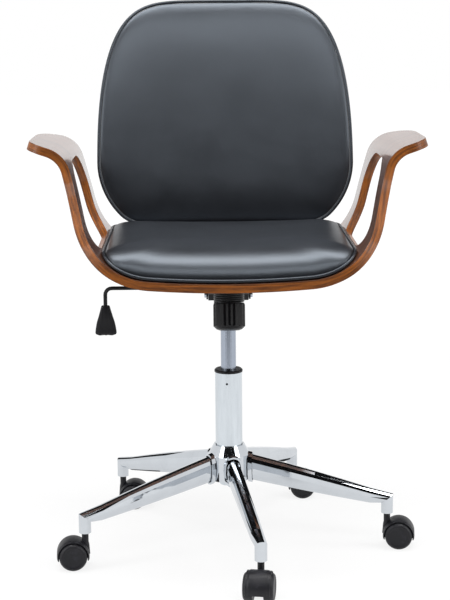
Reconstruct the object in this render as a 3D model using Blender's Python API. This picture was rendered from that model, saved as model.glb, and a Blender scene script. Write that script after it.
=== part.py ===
"""Office chair: bent plywood arm band, leather cushions, tilt mechanism, gas lift and five-star caster base.

Units are metres and degrees. +Z is up, the sitter faces -Y, and the column stands on the origin.
"""
import math

import bmesh
import bpy
from mathutils import Matrix, Vector

# Clearance between pieces that touch
GAP = 0.0003

# Casters
WHEEL_RADIUS = 0.025
WHEEL_WIDTH = 0.0173
WHEEL_INNER_GAP = 0.0184
WHEEL_STEPS = 20
HOOD_RADIUS = 0.029
HOOD_WALL = 0.0028
HOOD_WIDTH = 0.043
HOOD_SKIRT_Z = 0.0185
WEB_THICKNESS = 0.017
CASTER_TRAIL = 0.022
NECK_RADIUS = 0.006
AXLE_RADIUS = 0.0026
STEM_RADIUS = 0.0052
STEM_INSERTION = 0.027
STEM_SEAT = 0.018
CASTER_HEADINGS = (-100.0, 184.7, -3.0, -3.0, -7.5)

# Five-star base
LEG_COUNT = 5
FIRST_LEG_ANGLE = 9.3
SOCKET_CIRCLE = 0.293
SOCKET_RADIUS = 0.011
SOCKET_BOTTOM_Z = 0.0643
SOCKET_INNER_HEIGHT = 0.018
SOCKET_OUTER_HEIGHT = 0.0357
LEG_ROOT_RADIUS = 0.0288
LEG_WIDTH = 0.026
LEG_END_WIDTH = 0.0235
LEG_TOP_Z = 0.1708
LEG_HEIGHT = 0.049
LEG_ROUNDNESS = 2.6
LEG_POINTS = 16
HUB_TOP_Z = 0.187
HUB_BOTTOM_Z = 0.122
HUB_WALL = 0.003
HUB_SKIRT_RADIUS = 0.0385
HUB_SHOULDER_DROP = 0.017
LIP_REACH = 0.0055
LIP_WALL = 0.003
LEG_OPENING_GAP = 0.0015

# Column and gas lift
COLUMN_RADIUS = 0.025
COLUMN_WALL = 0.0025
COLUMN_TOP_Z = 0.324
COLUMN_BOTTOM_Z = 0.1105
COLUMN_END_RADIUS = 0.0205
COLUMN_FLOOR = 0.005
COLLAR_HEIGHT = 0.0052
COLLAR_OVERHANG = 0.001
BUSHING_LENGTH = 0.085
CYLINDER_RADIUS = 0.014
CYLINDER_LENGTH = 0.225
CYLINDER_TAPER = 0.0013
ROD_RADIUS = 0.005
ROD_SHOULDER = 0.0085
ROD_ENTRY = 0.015
BEARING_RADIUS = 0.0125
BEARING_HEIGHT = 0.006
CLIP_RADIUS = 0.0105
CLIP_THICKNESS = 0.0013
LIFT_TRAVEL = 0.085
VALVE_RADIUS = 0.004
VALVE_DEPTH = 0.012
VALVE_STROKE = 0.0055
PIN_HOLE_RADIUS = 0.0022

# Bent plywood arm band, measured along its underside
BAND_THICKNESS = 0.015
BAND_UNDERSIDE_Z = 0.5134
FLOOR_RADIUS = 1.736
LOWER_BEND_RADIUS = 0.1425
WALL_ANGLE = 74.9
WALL_LENGTH = 0.0845
UPPER_BEND_RADIUS = 0.0417
ARMREST_ANGLE = 18.3
ARMREST_RUN = 0.0364
ARM_CLEARANCE = 0.017
BAND_FRONT_Y = -0.235
BAND_REAR_Y = 0.145
ARM_FRONT_SETBACK = 0.110
ARM_REAR_SPREAD = 0.042
ARM_FRONT_CORNER = 0.030
ARM_REAR_CORNER_LENGTH = 0.095
ARM_REAR_CORNER_DEPTH = 0.180
WINDOW_FRONT_STRIP = 0.061
WINDOW_REAR_STRIP = 0.059
WINDOW_FOOT_CORNER = 0.045
WINDOW_TOP_CORNER = 0.035
WINDOW_TOP_LENGTH = 0.060
WINDOW_TOP_DEPTH = 0.080

# Stations of the arm, measured along the band from the end of its floor
SWEEP_START = 0.062
SWEEP_END = 0.282
SPREAD_START = 0.042
SPREAD_END = 0.222
WINDOW_START = 0.107
WINDOW_END = 0.267

# Bent plywood back shell
SHELL_THICKNESS = 0.012
SHELL_FOOT_FRONT_Y = -0.165
SHELL_FOOT_HALF = 0.12
SHELL_FOOT_CORNER = 0.03
SHELL_BEND_RADIUS = 0.045
BACK_RECLINE = 14.0
BACK_FACE_Y = 0.216
BACK_FACE_Z = 0.575
BACK_BOW_RADIUS = 0.9
SHELL_INSET = 0.004
SHELL_CREASES = (0.52, 0.66, 0.79, 0.89)
SHELL_CREASE_RISES = (0.07, 0.17, 0.27, 0.36)

# Back cushion, measured up the back from BACK_FACE_Z
BACK_HALF_WIDTH = 0.2441
BACK_WIDEST = 0.1205
BACK_UPPER = 0.3137
BACK_LOWER = 0.1618
BACK_CUSHION_LOW = -0.004
BACK_SHELL_LOW = 0.020
BACK_UPPER_POWERS = (2.307, 0.1906)
BACK_LOWER_POWERS = (1.884, 0.3505)
BACK_EDGE_THICKNESS = 0.036
BACK_CROWN = 0.015
BACK_LOW_CORNER = 0.022
BACK_CENTRE = 0.16
BACK_LINE_POINTS = 54

# Seat cushion, its plan measured along the band and its sides from the end of the band's floor
SEAT_SIDE_REACH = 0.1025
SEAT_FRONT_Y = -0.2295
SEAT_REAR_Y = 0.157
SEAT_FRONT_CORNER = 0.055
SEAT_REAR_CORNER = 0.035
SEAT_EDGE_HEIGHT = 0.0042
SEAT_CROWN_HEIGHT = 0.0603
SEAT_CROWN_POWER = 5
SEAT_DISH_RADIUS = 3.2
SEAT_CROWN_SHIFT = 0.04
SEAT_LEVEL_START = 0.085
SEAT_LEVEL_END = 0.135
SEAT_LINE_POINTS = 58
PIPING_RADIUS = 0.003

# Tilt mechanism
PLATE_THICKNESS = 0.003
PLATE_FRONT_Y = -0.137
PLATE_REAR_Y = 0.085
PLATE_HALF = 0.092
BOLT_X = 0.075
BOLT_FRONT_Y = -0.040
BOLT_REAR_Y = 0.062
BOLT_RADIUS = 0.003
BOLT_HEAD_RADIUS = 0.0058
BOLT_HEAD_HEIGHT = 0.004
BOLT_DEPTH_IN_SHELL = 0.7
DRILL_MARGIN = 0.003
PIVOT_Y = -0.050
PIVOT_DROP = 0.0321
SHAFT_RADIUS = 0.004
SHAFT_HEAD_RADIUS = 0.0062
SHAFT_HEAD_LENGTH = 0.0034
EAR_THICKNESS = 0.003
EAR_RADIUS = 0.0095
HOUSING_HALF = 0.036
HOUSING_WALL = 0.0025
HOUSING_DEPTH = 0.0115
HOUSING_REAR_Y = 0.055
HOUSING_FRONT_Y = -0.130
HOUSING_KNEE_Y = -0.060
HOUSING_FLANGE = 0.0095
BOSS_RADIUS = 0.021
BOSS_LENGTH = 0.0465
BUMPER_HEIGHT = 0.004

# Tilt tension knob, along its own axis from the housing's sloped floor
KNOB_Y = -0.100
KNOB_LEAN = 15.0
KNOB_FLOOR_DROP = 0.0203
SPRING_LENGTH = 0.0185
SPRING_RADIUS = 0.0258
SPRING_WIRE_RADIUS = 0.0017
SPRING_TURNS = 2.6
WASHER_THICKNESS = 0.0015
WASHER_RADIUS = 0.0272
KNOB_RADIUS = 0.0283
KNOB_GRIP_LENGTH = 0.040
KNOB_DOME_LENGTH = 0.006
KNOB_DOME_RADIUS = 0.0195
KNOB_GRIPS = 14
KNOB_GRIP_DEPTH = 0.0013
SCREW_RADIUS = 0.004
SCREW_IN_KNOB = 0.026
KNOB_END_CLEARANCE = 0.0025
SCREW_SLOT_WIDTH = 0.0105
SCREW_SLOT_LENGTH = 0.015

# Height lever
LEVER_Z_ABOVE_PIVOT = 0.0035
LEVER_ROD_RADIUS = 0.0036
LEVER_INNER_X = 0.012
LEVER_BEND_X = -0.2235
LEVER_BEND_RADIUS = 0.012
LEVER_DROP = 0.055
LEVER_BALL_RADIUS = 0.0068
LEVER_BALL_LENGTH = 0.009
GRIP_TOP_WIDTH = 0.016
GRIP_WIDTH = 0.039
GRIP_LENGTH = 0.0552
GRIP_THICKNESS = 0.009
GRIP_ROD_DEPTH = 0.023
GRIP_RIB_WIDTH = 0.0085
GRIP_RIB_LENGTH = 0.030
GRIP_LOBE = 0.0012

# Values worked out from the sizes above
plate_bottom_z = BAND_UNDERSIDE_Z - GAP - PLATE_THICKNESS
pivot_z = plate_bottom_z - PIVOT_DROP
housing_floor_z = pivot_z - HOUSING_DEPTH
cylinder_top_z = housing_floor_z + HOUSING_WALL + 0.0005
cylinder_bottom_z = cylinder_top_z - CYLINDER_LENGTH
lever_z = pivot_z + LEVER_Z_ABOVE_PIVOT
shell_rest = BAND_THICKNESS + GAP
lean = math.radians(KNOB_LEAN)
knob_axis = Vector((0, -math.sin(lean), -math.cos(lean)))
knob_floor = Vector((0, KNOB_Y, plate_bottom_z - KNOB_FLOOR_DROP))
recline = math.radians(BACK_RECLINE)
wall_reach = (LOWER_BEND_RADIUS - BAND_THICKNESS) * math.sin(math.radians(WALL_ANGLE))
floor_half = BACK_HALF_WIDTH + ARM_CLEARANCE - wall_reach
seat_half = floor_half + SEAT_SIDE_REACH


def clear_scene():
    """Remove every object of the opened scene."""
    for item in list(bpy.data.objects):
        bpy.data.objects.remove(item, do_unlink=True)


def make_material(name, colour, roughness, metallic=0.0):
    """Return a Principled material of one plain colour."""
    material = bpy.data.materials.new(name)
    material.use_nodes = True
    shader = material.node_tree.nodes["Principled BSDF"]
    shader.inputs["Base Color"].default_value = (*colour, 1.0)
    shader.inputs["Roughness"].default_value = roughness
    shader.inputs["Metallic"].default_value = metallic
    return material


def empty(name, location=(0, 0, 0), heading=0.0, parent=None):
    """Return an empty that carries a joint's axis."""
    holder = bpy.data.objects.new(name, None)
    bpy.context.collection.objects.link(holder)
    holder.parent = parent
    holder.location = location
    holder.rotation_euler = (0, 0, math.radians(heading))
    return holder


def to_mesh(bm, name):
    """Close a bmesh into a mesh with outward faces and smooth shading between sharp edges."""
    bmesh.ops.recalc_face_normals(bm, faces=bm.faces)
    mesh = bpy.data.meshes.new(name)
    bm.to_mesh(mesh)
    bm.free()
    return mesh


def add_part(name, mesh, material, parent=None, location=(0, 0, 0), rotation=(0, 0, 0)):
    """Place a mesh as one named piece."""
    mesh.shade_smooth()
    mesh.set_sharp_from_angle(angle=math.radians(32))
    if not mesh.materials:
        mesh.materials.append(material)
    part = bpy.data.objects.new(name, mesh)
    bpy.context.collection.objects.link(part)
    part.parent = parent
    part.location = location
    part.rotation_euler = rotation
    return part


def combine(body, tool, operation="DIFFERENCE"):
    """Return body cut by, or united with, tool. Both meshes share one frame."""
    pair = [bpy.data.objects.new(label, mesh) for label, mesh in (("body", body), ("tool", tool))]
    for item in pair:
        bpy.context.collection.objects.link(item)
    boolean = pair[0].modifiers.new("boolean", "BOOLEAN")
    boolean.operation = operation
    boolean.object = pair[1]
    bpy.context.view_layer.update()
    evaluated = pair[0].evaluated_get(bpy.context.evaluated_depsgraph_get())
    result = bpy.data.meshes.new_from_object(evaluated)
    for item in pair:
        bpy.data.objects.remove(item, do_unlink=True)
    return result


def moved(mesh, matrix):
    """Return the mesh after a change of place."""
    mesh.transform(matrix)
    return mesh


def world_place(holder):
    """Return the world position of an unrotated empty."""
    place_now = Vector()
    while holder:
        place_now += holder.location
        holder = holder.parent
    return place_now


def place(name, mesh, material, parent=None):
    """Place a mesh that was made in world coordinates under an unrotated empty."""
    return add_part(name, mesh, material, parent, -world_place(parent))


def turned(name, profile, steps, closed=False):
    """Turn a profile of (radius, z) points about Z. A closed profile makes a ring."""
    bm = bmesh.new()
    verts = [bm.verts.new((radius, 0, z)) for radius, z in profile]
    pairs = list(zip(verts, verts[1:]))
    if closed:
        pairs.append((verts[-1], verts[0]))
    edges = [bm.edges.new(pair) for pair in pairs]
    bmesh.ops.spin(
        bm, geom=verts + edges, cent=(0, 0, 0), axis=(0, 0, 1), angle=math.tau, steps=steps, use_merge=True)
    bmesh.ops.remove_doubles(bm, verts=bm.verts, dist=1e-6)
    return to_mesh(bm, name)


def rod(name, radius, start, end, steps=16):
    """Return a plain round bar between two points."""
    start, end = Vector(start), Vector(end)
    along = end - start
    mesh = turned(name, [(0, 0), (radius, 0), (radius, along.length), (0, along.length)], steps)
    turn = along.to_track_quat("Z", "Y").to_matrix().to_4x4()
    return moved(mesh, Matrix.Translation(start) @ turn)


def loft(name, rings):
    """Join rings of equal counts by quads and close both ends."""
    bm = bmesh.new()
    rows = [[bm.verts.new(point) for point in ring] for ring in rings]
    for lower, upper in zip(rows, rows[1:]):
        for index, vert in enumerate(lower):
            follower = (index + 1) % len(lower)
            bm.faces.new((vert, lower[follower], upper[follower], upper[index]))
    for row in (rows[0], rows[-1]):
        middle = bm.verts.new(sum((vert.co for vert in row), Vector()) / len(row))
        for index, vert in enumerate(row):
            bm.faces.new((vert, row[(index + 1) % len(row)], middle))
    return to_mesh(bm, name)


def prism(name, outline, depth, centre=0.0):
    """Extrude an outline of (y, z) points along X, half of the depth to each side of the centre."""
    rings = [[(centre + side * depth / 2, y, z) for y, z in outline] for side in (-1, 1)]
    bm = bmesh.new()
    rows = [[bm.verts.new(point) for point in ring] for ring in rings]
    for index in range(len(outline)):
        follower = (index + 1) % len(outline)
        bm.faces.new((rows[0][index], rows[0][follower], rows[1][follower], rows[1][index]))
    for row in rows:
        bm.faces.new(row)
    return to_mesh(bm, name)


def tube(name, points, radius, sides_level, closed, material, parent=None):
    """Place a round tube along points as a curve object."""
    curve = bpy.data.curves.new(name, "CURVE")
    curve.dimensions = "3D"
    curve.bevel_depth = radius
    curve.bevel_resolution = sides_level
    curve.use_fill_caps = not closed
    spline = curve.splines.new("POLY")
    spline.points.add(len(points) - 1)
    for slot, point in zip(spline.points, points):
        slot.co = (*point, 1.0)
    spline.use_cyclic_u = closed
    curve.materials.append(material)
    part = bpy.data.objects.new(name, curve)
    bpy.context.collection.objects.link(part)
    part.parent = parent
    return part


def rounded_outline(corners, steps=4):
    """Return an outline whose corners (x, y, radius) are replaced by arcs."""
    points = []
    for index, (x, y, radius) in enumerate(corners):
        corner = Vector((x, y))
        before = (Vector(corners[index - 1][:2]) - corner).normalized()
        after = (Vector(corners[(index + 1) % len(corners)][:2]) - corner).normalized()
        half = before.angle(after) / 2
        centre = corner + (before + after).normalized() * (radius / math.sin(half))
        first = corner + before * (radius / math.tan(half)) - centre
        sweep = math.pi - 2 * half
        if before.x * after.y - before.y * after.x > 0:
            sweep = -sweep
        for step in range(steps + 1):
            points.append(tuple(centre + Matrix.Rotation(sweep * step / steps, 2) @ first))
    return points


def corner_inset(distance, length, depth=None):
    """Return how far an elliptic corner draws an edge in, at a distance from the end."""
    if distance >= length:
        return 0.0
    return (depth or length) * (1 - math.sqrt(1 - (1 - distance / length) ** 2))


def end_steps(start, radius, direction, count=5):
    """Return positions that follow a rounded corner evenly from its end."""
    return [start + direction * radius * (1 - math.cos(math.pi / 2 * step / count)) for step in range(count + 1)]


class BentPath:
    """A bent line of arcs and straight runs, with an offset on its left side."""

    def __init__(self, start, heading):
        self.stations = [0.0]
        self.points = [Vector(start)]
        self.headings = [heading]

    def run(self, length):
        """Go straight on."""
        heading = self.headings[-1]
        self.stations.append(self.stations[-1] + length)
        self.points.append(self.points[-1] + Vector((math.cos(heading), math.sin(heading))) * length)
        self.headings.append(heading)

    def bend(self, radius, heading, steps):
        """Turn to a new heading along an arc."""
        first = self.headings[-1]
        side = math.copysign(1.0, heading - first)
        centre = self.points[-1] + Vector((-math.sin(first), math.cos(first))) * radius * side
        for step in range(1, steps + 1):
            angle = first + (heading - first) * step / steps
            self.stations.append(self.stations[-1] + radius * abs(heading - first) / steps)
            self.points.append(centre - Vector((-math.sin(angle), math.cos(angle))) * radius * side)
            self.headings.append(angle)

    def at(self, position, height):
        """Return the point at a position along the path and a height off it."""
        last = len(self.stations) - 2
        index = next((i for i in range(last) if position <= self.stations[i + 1]), last)
        share = (position - self.stations[index]) / (self.stations[index + 1] - self.stations[index])
        ends = [
            self.points[i] + Vector((-math.sin(self.headings[i]), math.cos(self.headings[i]))) * height
            for i in (index, index + 1)]
        return ends[0].lerp(ends[1], share)


def bent_sheet(name, outline, openings, folds, surface, low, high):
    """Make a sheet: fill its flat blank, crease it at the folds and bend it between two heights."""
    bm = bmesh.new()
    edges = []
    for loop in (outline, *openings):
        verts = [bm.verts.new((*point, 0)) for point in loop]
        edges += [bm.edges.new(pair) for pair in zip(verts, verts[1:] + verts[:1])]
    bmesh.ops.triangle_fill(bm, edges=edges, use_beauty=True, normal=(0, 0, 1))
    for axis, positions in enumerate(folds):
        for position in positions:
            place = Vector((position, position, 0))
            normal = Vector((1 - axis, axis, 0))
            everything = bm.verts[:] + bm.edges[:] + bm.faces[:]
            bmesh.ops.bisect_plane(bm, geom=everything, dist=1e-7, plane_co=place, plane_no=normal)
    spare = [edge for edge in bm.edges if len(edge.link_faces) == 2 and not on_fold(edge, folds)]
    bmesh.ops.dissolve_edges(bm, edges=spare, use_verts=False)
    straight = [vert for vert in bm.verts if len(vert.link_edges) == 2 and is_straight(vert)]
    bmesh.ops.dissolve_verts(bm, verts=straight)
    bmesh.ops.triangulate(bm, faces=bm.faces)
    solid = bmesh.new()
    layers = [[solid.verts.new(surface(*vert.co.xy, height)) for vert in bm.verts] for height in (low, high)]
    bm.verts.index_update()
    for face in bm.faces:
        corners = [vert.index for vert in face.verts]
        solid.faces.new([layers[1][i] for i in corners])
        solid.faces.new([layers[0][i] for i in reversed(corners)])
    for edge in bm.edges:
        if len(edge.link_faces) == 1:
            first, second = (vert.index for vert in edge.verts)
            solid.faces.new((layers[0][first], layers[0][second], layers[1][second], layers[1][first]))
    bm.free()
    return to_mesh(solid, name)


def on_fold(edge, folds):
    """Tell whether an edge of a flat blank lies along one of its folds."""
    first, second = (vert.co for vert in edge.verts)
    return any(
        abs(first[axis] - position) < 1e-6 and abs(second[axis] - position) < 1e-6
        for axis, positions in enumerate(folds) for position in positions)


def is_straight(vert):
    """Tell whether the two edges of a vertex run straight through it."""
    arms = [(edge.other_vert(vert).co - vert.co).normalized() for edge in vert.link_edges]
    return arms[0].dot(arms[1]) < -0.999999


def resample(points, count, closed=True):
    """Return a line's points at equal distances."""
    line = [Vector(point) for point in points]
    if closed:
        line.append(line[0])
    lengths = [0.0]
    for first, second in zip(line, line[1:]):
        lengths.append(lengths[-1] + (second - first).length)
    steps = count if closed else count - 1
    picked = []
    index = 0
    for step in range(count):
        wanted = lengths[-1] * step / steps
        while index < len(line) - 2 and lengths[index + 1] < wanted:
            index += 1
        share = (wanted - lengths[index]) / (lengths[index + 1] - lengths[index])
        picked.append(line[index].lerp(line[index + 1], share))
    return picked


def inset(points, distance):
    """Return a counter-clockwise closed outline moved inwards."""
    result = []
    for index, point in enumerate(points):
        along = (points[(index + 1) % len(points)] - points[index - 1]).normalized()
        result.append(point + Vector((-along.y, along.x)) * distance)
    return result


def ease(value, start, end):
    """Return a smooth step from 0 at the start to 1 at the end."""
    share = min(max((value - start) / (end - start), 0.0), 1.0)
    return (1 - math.cos(math.pi * share)) / 2


band = BentPath((0, BAND_UNDERSIDE_Z), 0.0)
band.bend(FLOOR_RADIUS, floor_half / FLOOR_RADIUS, 3)
band.bend(LOWER_BEND_RADIUS, math.radians(WALL_ANGLE), 9)
band.run(WALL_LENGTH)
band.bend(UPPER_BEND_RADIUS, math.radians(ARMREST_ANGLE), 7)
band.run(ARMREST_RUN)


def band_surface(s, y, height):
    """Return a point of the band: s along it from the middle, height from its underside."""
    point = band.at(abs(s), height)
    return Vector((math.copysign(point.x, s), y, point.y))


def band_front(s):
    """Return the band's front edge, which sweeps back up the arm."""
    return BAND_FRONT_Y + ARM_FRONT_SETBACK * ease(s - floor_half, SWEEP_START, SWEEP_END)


def band_rear(s):
    """Return the band's rear edge."""
    return BAND_REAR_Y + ARM_REAR_SPREAD * ease(s - floor_half, SPREAD_START, SPREAD_END)


def spaced(start, end, count):
    """Return evenly spaced values from start to end, without the end."""
    return [start + (end - start) * step / count for step in range(count)]


def arm_outline():
    """Return the flat outline of the band, both halves."""
    tip = band.stations[-1]
    corner_start = tip - ARM_FRONT_CORNER
    places = spaced(floor_half + SWEEP_START, corner_start, 9) + end_steps(tip, ARM_FRONT_CORNER, -1, 7)[::-1]
    front = [(s, band_front(s) + corner_inset(tip - s, ARM_FRONT_CORNER)) for s in places]
    turn_start = tip - ARM_REAR_CORNER_LENGTH
    places = spaced(floor_half + SPREAD_START, turn_start, 6) + end_steps(tip, ARM_REAR_CORNER_LENGTH, -1, 10)[::-1]
    rear = [
        (s, band_rear(s) - corner_inset(tip - s, ARM_REAR_CORNER_LENGTH, ARM_REAR_CORNER_DEPTH)) for s in places]
    half = front + rear[::-1]
    mirrored = [(-s, y) for s, y in reversed(half)]
    return half + mirrored


def window_outline(side):
    """Return the flat outline of the opening in one arm."""
    start = floor_half + WINDOW_START
    end = floor_half + WINDOW_END
    last = end_steps(end, WINDOW_TOP_LENGTH, -1, 7)[::-1]
    places = end_steps(start, WINDOW_FOOT_CORNER, 1)[:-1] + spaced(start + WINDOW_FOOT_CORNER, last[0], 3) + last
    front = []
    rear = []
    for s in places:
        foot = corner_inset(s - start, WINDOW_FOOT_CORNER)
        front_top = corner_inset(end - s, WINDOW_TOP_CORNER)
        rear_top = corner_inset(end - s, WINDOW_TOP_LENGTH, WINDOW_TOP_DEPTH)
        front.append((side * s, band_front(s) + WINDOW_FRONT_STRIP + foot + front_top))
        rear.append((side * s, band_rear(s) - WINDOW_REAR_STRIP - foot - rear_top))
    return front + rear[::-1]


def bolt_places():
    """Return the station and y of each of the four seat bolts."""
    return [(side * BOLT_X, y) for y in (BOLT_FRONT_Y, BOLT_REAR_Y) for side in (-1, 1)]


def drill_bolt_holes(mesh, low, high):
    """Cut the four bolt holes between two heights over the band's underside."""
    for s, y in bolt_places():
        drill = rod("drill", BOLT_RADIUS + GAP, band_surface(s, y, low), band_surface(s, y, high), 12)
        mesh = combine(mesh, drill)
    return mesh


def build_band(seat, wood, screw_metal):
    """The bent plywood band: seat floor, arms and armrests, with the steel plate bolted under it."""
    stations = band.stations[1:-1]
    folds = ([-s for s in reversed(stations)] + [0.0] + stations, [])
    openings = [window_outline(1), window_outline(-1)]
    mesh = bent_sheet("arm_shell", arm_outline(), openings, folds, band_surface, 0.0, BAND_THICKNESS)
    mesh = drill_bolt_holes(mesh, -DRILL_MARGIN, BAND_THICKNESS + DRILL_MARGIN)
    place("arm_shell", mesh, wood, seat)
    bolt_top = BAND_THICKNESS + GAP + SHELL_THICKNESS * BOLT_DEPTH_IN_SHELL
    for number, (s, y) in enumerate(bolt_places(), 1):
        under = -GAP - PLATE_THICKNESS - GAP
        foot = band_surface(s, y, under - BOLT_HEAD_HEIGHT)
        tip = band_surface(s, y, bolt_top)
        length = (tip - foot).length
        profile = [
            (0, 0), (BOLT_HEAD_RADIUS * 0.8, 0), (BOLT_HEAD_RADIUS, BOLT_HEAD_HEIGHT * 0.4),
            (BOLT_HEAD_RADIUS, BOLT_HEAD_HEIGHT), (BOLT_RADIUS, BOLT_HEAD_HEIGHT), (BOLT_RADIUS, length), (0, length)]
        mesh = turned(f"seat_bolt_{number}", profile, 12)
        turn = (tip - foot).to_track_quat("Z", "Y").to_matrix().to_4x4()
        place(f"seat_bolt_{number}", moved(mesh, Matrix.Translation(foot) @ turn), screw_metal, seat)


# Back shell: its own path runs back along the band's floor and up the back
shell_base_z = band.at(0.0, shell_rest).y
shell_bend_z = shell_base_z + SHELL_THICKNESS + SHELL_BEND_RADIUS
shell_bend_y = BACK_FACE_Y - SHELL_BEND_RADIUS / math.cos(recline) + (shell_bend_z - BACK_FACE_Z) * math.tan(recline)
shell_path = BentPath((SHELL_FOOT_FRONT_Y, shell_base_z), 0.0)
shell_path.run(shell_bend_y - SHELL_FOOT_FRONT_Y)
shell_path.bend(SHELL_BEND_RADIUS + SHELL_THICKNESS, math.pi / 2 - recline, 8)
shell_path.run(0.5)
shell_bend_start = shell_path.stations[1]
shell_bend_end = shell_path.stations[-2]
shell_bend_point = shell_path.points[-2]
back_rise = (BACK_FACE_Z - shell_bend_point.y) / math.cos(recline)
back_zero = shell_bend_end + back_rise - SHELL_THICKNESS * math.tan(recline)


def back_lower_width(v):
    """Return half of the back cushion's width at a height below its widest place."""
    share = min((BACK_WIDEST - v) / BACK_LOWER, 1.0)
    return BACK_HALF_WIDTH * (1 - share ** BACK_LOWER_POWERS[0]) ** BACK_LOWER_POWERS[1]


def back_side(bottom, rounding):
    """Return the right half of the back cushion's outline, from its lower edge to its top middle."""
    side = []
    for step in range(40):
        v = bottom + (BACK_WIDEST - bottom) * step / 40
        side.append((back_lower_width(v) - corner_inset(v - bottom, rounding), v))
    for step in range(81):
        angle = math.pi / 2 * step / 80
        share = math.sin(angle) ** (2 / BACK_UPPER_POWERS[0])
        width = BACK_HALF_WIDTH * math.cos(angle) ** (2 * BACK_UPPER_POWERS[1])
        side.append((width, BACK_WIDEST + BACK_UPPER * share))
    side[-1] = (0.0, side[-1][1])
    return [Vector((x, v - (BACK_EDGE_THICKNESS + x ** 2 / (2 * BACK_BOW_RADIUS)) * math.tan(recline)))
            for x, v in side]


def shell_bow(x, v):
    """Return how far the shell bows off its middle line, v along the shell's path."""
    floor = band_bow(x)
    share = ease(v, shell_bend_start, shell_bend_end)
    return floor + (x ** 2 / (2 * BACK_BOW_RADIUS) - floor) * share


def band_bow(x):
    """Return the rise of the band's inner surface at a distance from the middle."""
    x = abs(x)
    places = [band.at(s, shell_rest) for s in band.stations[:5]]
    for first, second in zip(places, places[1:]):
        if x <= second.x:
            break
    share = (x - first.x) / (second.x - first.x)
    return first.y + (second.y - first.y) * share - places[0].y


def shell_surface(x, v, height):
    """Return a point of the shell: x across, v along its path, height from its outer face."""
    point = shell_path.at(v, height + shell_bow(x, v))
    return Vector((x, point.x, point.y))


def build_back_shell(seat, wood):
    """The bent plywood shell: a foot under the seat cushion and a bowed back."""
    foot = [Vector((SHELL_FOOT_HALF - corner_inset(v, SHELL_FOOT_CORNER), v)) for v in end_steps(
        0.0, SHELL_FOOT_CORNER, 1)]
    foot.append(Vector((SHELL_FOOT_HALF, shell_bend_start)))
    side = back_side(BACK_SHELL_LOW, 0.0)
    full = side + [Vector((-point.x, point.y)) for point in reversed(side[:-1])]
    drawn = inset(full, SHELL_INSET)[1:len(side)]
    drawn[-1].x = 0.0
    first = drawn[0]
    neck = []
    for step in range(1, 8):
        share = step / 8
        v = shell_bend_start + (back_zero + first.y - shell_bend_start) * share
        neck.append(Vector((SHELL_FOOT_HALF + (first.x - SHELL_FOOT_HALF) * share ** 2, v)))
    upper = neck + [Vector((point.x, back_zero + point.y)) for point in drawn]
    half = foot + resample(upper, 32, closed=False)
    outline = [tuple(point) for point in half] + [(-point.x, point.y) for point in reversed(half[:-1])]
    across = [x for x in (band.at(s, shell_rest).x for s in band.stations[1:]) if x < SHELL_FOOT_HALF]
    across += [share * BACK_HALF_WIDTH for share in SHELL_CREASES]
    across = [-x for x in reversed(across)] + [0.0] + across
    along = shell_path.stations[1:-1] + [back_zero + rise for rise in SHELL_CREASE_RISES]
    mesh = bent_sheet("back_shell", outline, [], (across, along), shell_surface, 0.0, SHELL_THICKNESS)
    hole_top = BAND_THICKNESS + GAP + SHELL_THICKNESS * (BOLT_DEPTH_IN_SHELL + 0.05)
    mesh = drill_bolt_holes(mesh, BAND_THICKNESS - DRILL_MARGIN, hole_top)
    place("back_shell", mesh, wood, seat)


def back_point(x, v, height):
    """Return a point of the back cushion: x across, v up the back, height in front of the shell."""
    bow = x ** 2 / (2 * BACK_BOW_RADIUS)
    lift = height + bow + 3 * GAP
    return Vector((
        x,
        BACK_FACE_Y + v * math.sin(recline) - lift * math.cos(recline),
        BACK_FACE_Z + v * math.cos(recline) + lift * math.sin(recline)))


def build_back_cushion(seat, leather):
    """The back cushion, crowned in front, and the piping round its front edge."""
    side = back_side(BACK_CUSHION_LOW, BACK_LOW_CORNER)
    loop = side + [Vector((-point.x, point.y)) for point in reversed(side[:-1])]
    line = inset(resample(loop, BACK_LINE_POINTS), PIPING_RADIUS)
    seam = PIPING_RADIUS + GAP * 1.5
    edge = BACK_EDGE_THICKNESS
    middle = Vector((0, BACK_CENTRE))
    rings = []
    for share in (0.35, 0.7):
        rings.append([back_point(*middle.lerp(point, share), 0.0) for point in inset(line, 0.012)])
    for depth, height in (
            (0.0100, 0.0), (0.0030, 0.006), (0.0010, 0.018), (0.0018, 0.029), (seam, 0.0335), (seam, 0.0365)):
        rings.append([back_point(*point, height) for point in inset(line, depth)])
    for depth, rise in ((0.0075, 0.30), (0.014, 0.50), (0.026, 0.70)):
        rings.append([back_point(*point, edge + BACK_CROWN * rise) for point in inset(line, depth)])
    inner = inset(line, 0.026)
    for share in (0.76, 0.5, 0.22):
        rise = 1 - 0.30 * share ** 3
        rings.append([back_point(*middle.lerp(point, share), edge + BACK_CROWN * rise) for point in inner])
    place("back_cushion", loft("back_cushion", rings), leather, seat)
    points = [back_point(*point, edge - 0.001) for point in line]
    piping = tube("back_piping", points, PIPING_RADIUS, 1, True, leather, seat)
    piping.location = -world_place(seat)


def seat_edge(s, y, share):
    """Return a point of the seat cushion's side: share 0 on the wood, 1 at the seam."""
    low = band.at(abs(s), shell_rest)
    high = band.at(abs(s), shell_rest + SEAT_EDGE_HEIGHT)
    rear = ease(y, SEAT_LEVEL_START, SEAT_LEVEL_END)
    side_z = band.at(seat_half, shell_rest + SEAT_EDGE_HEIGHT).y
    top = high.y + (side_z - high.y) * rear
    point = low.lerp(Vector((high.x, top)), share)
    return Vector((math.copysign(point.x, s), y, point.y))


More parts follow.
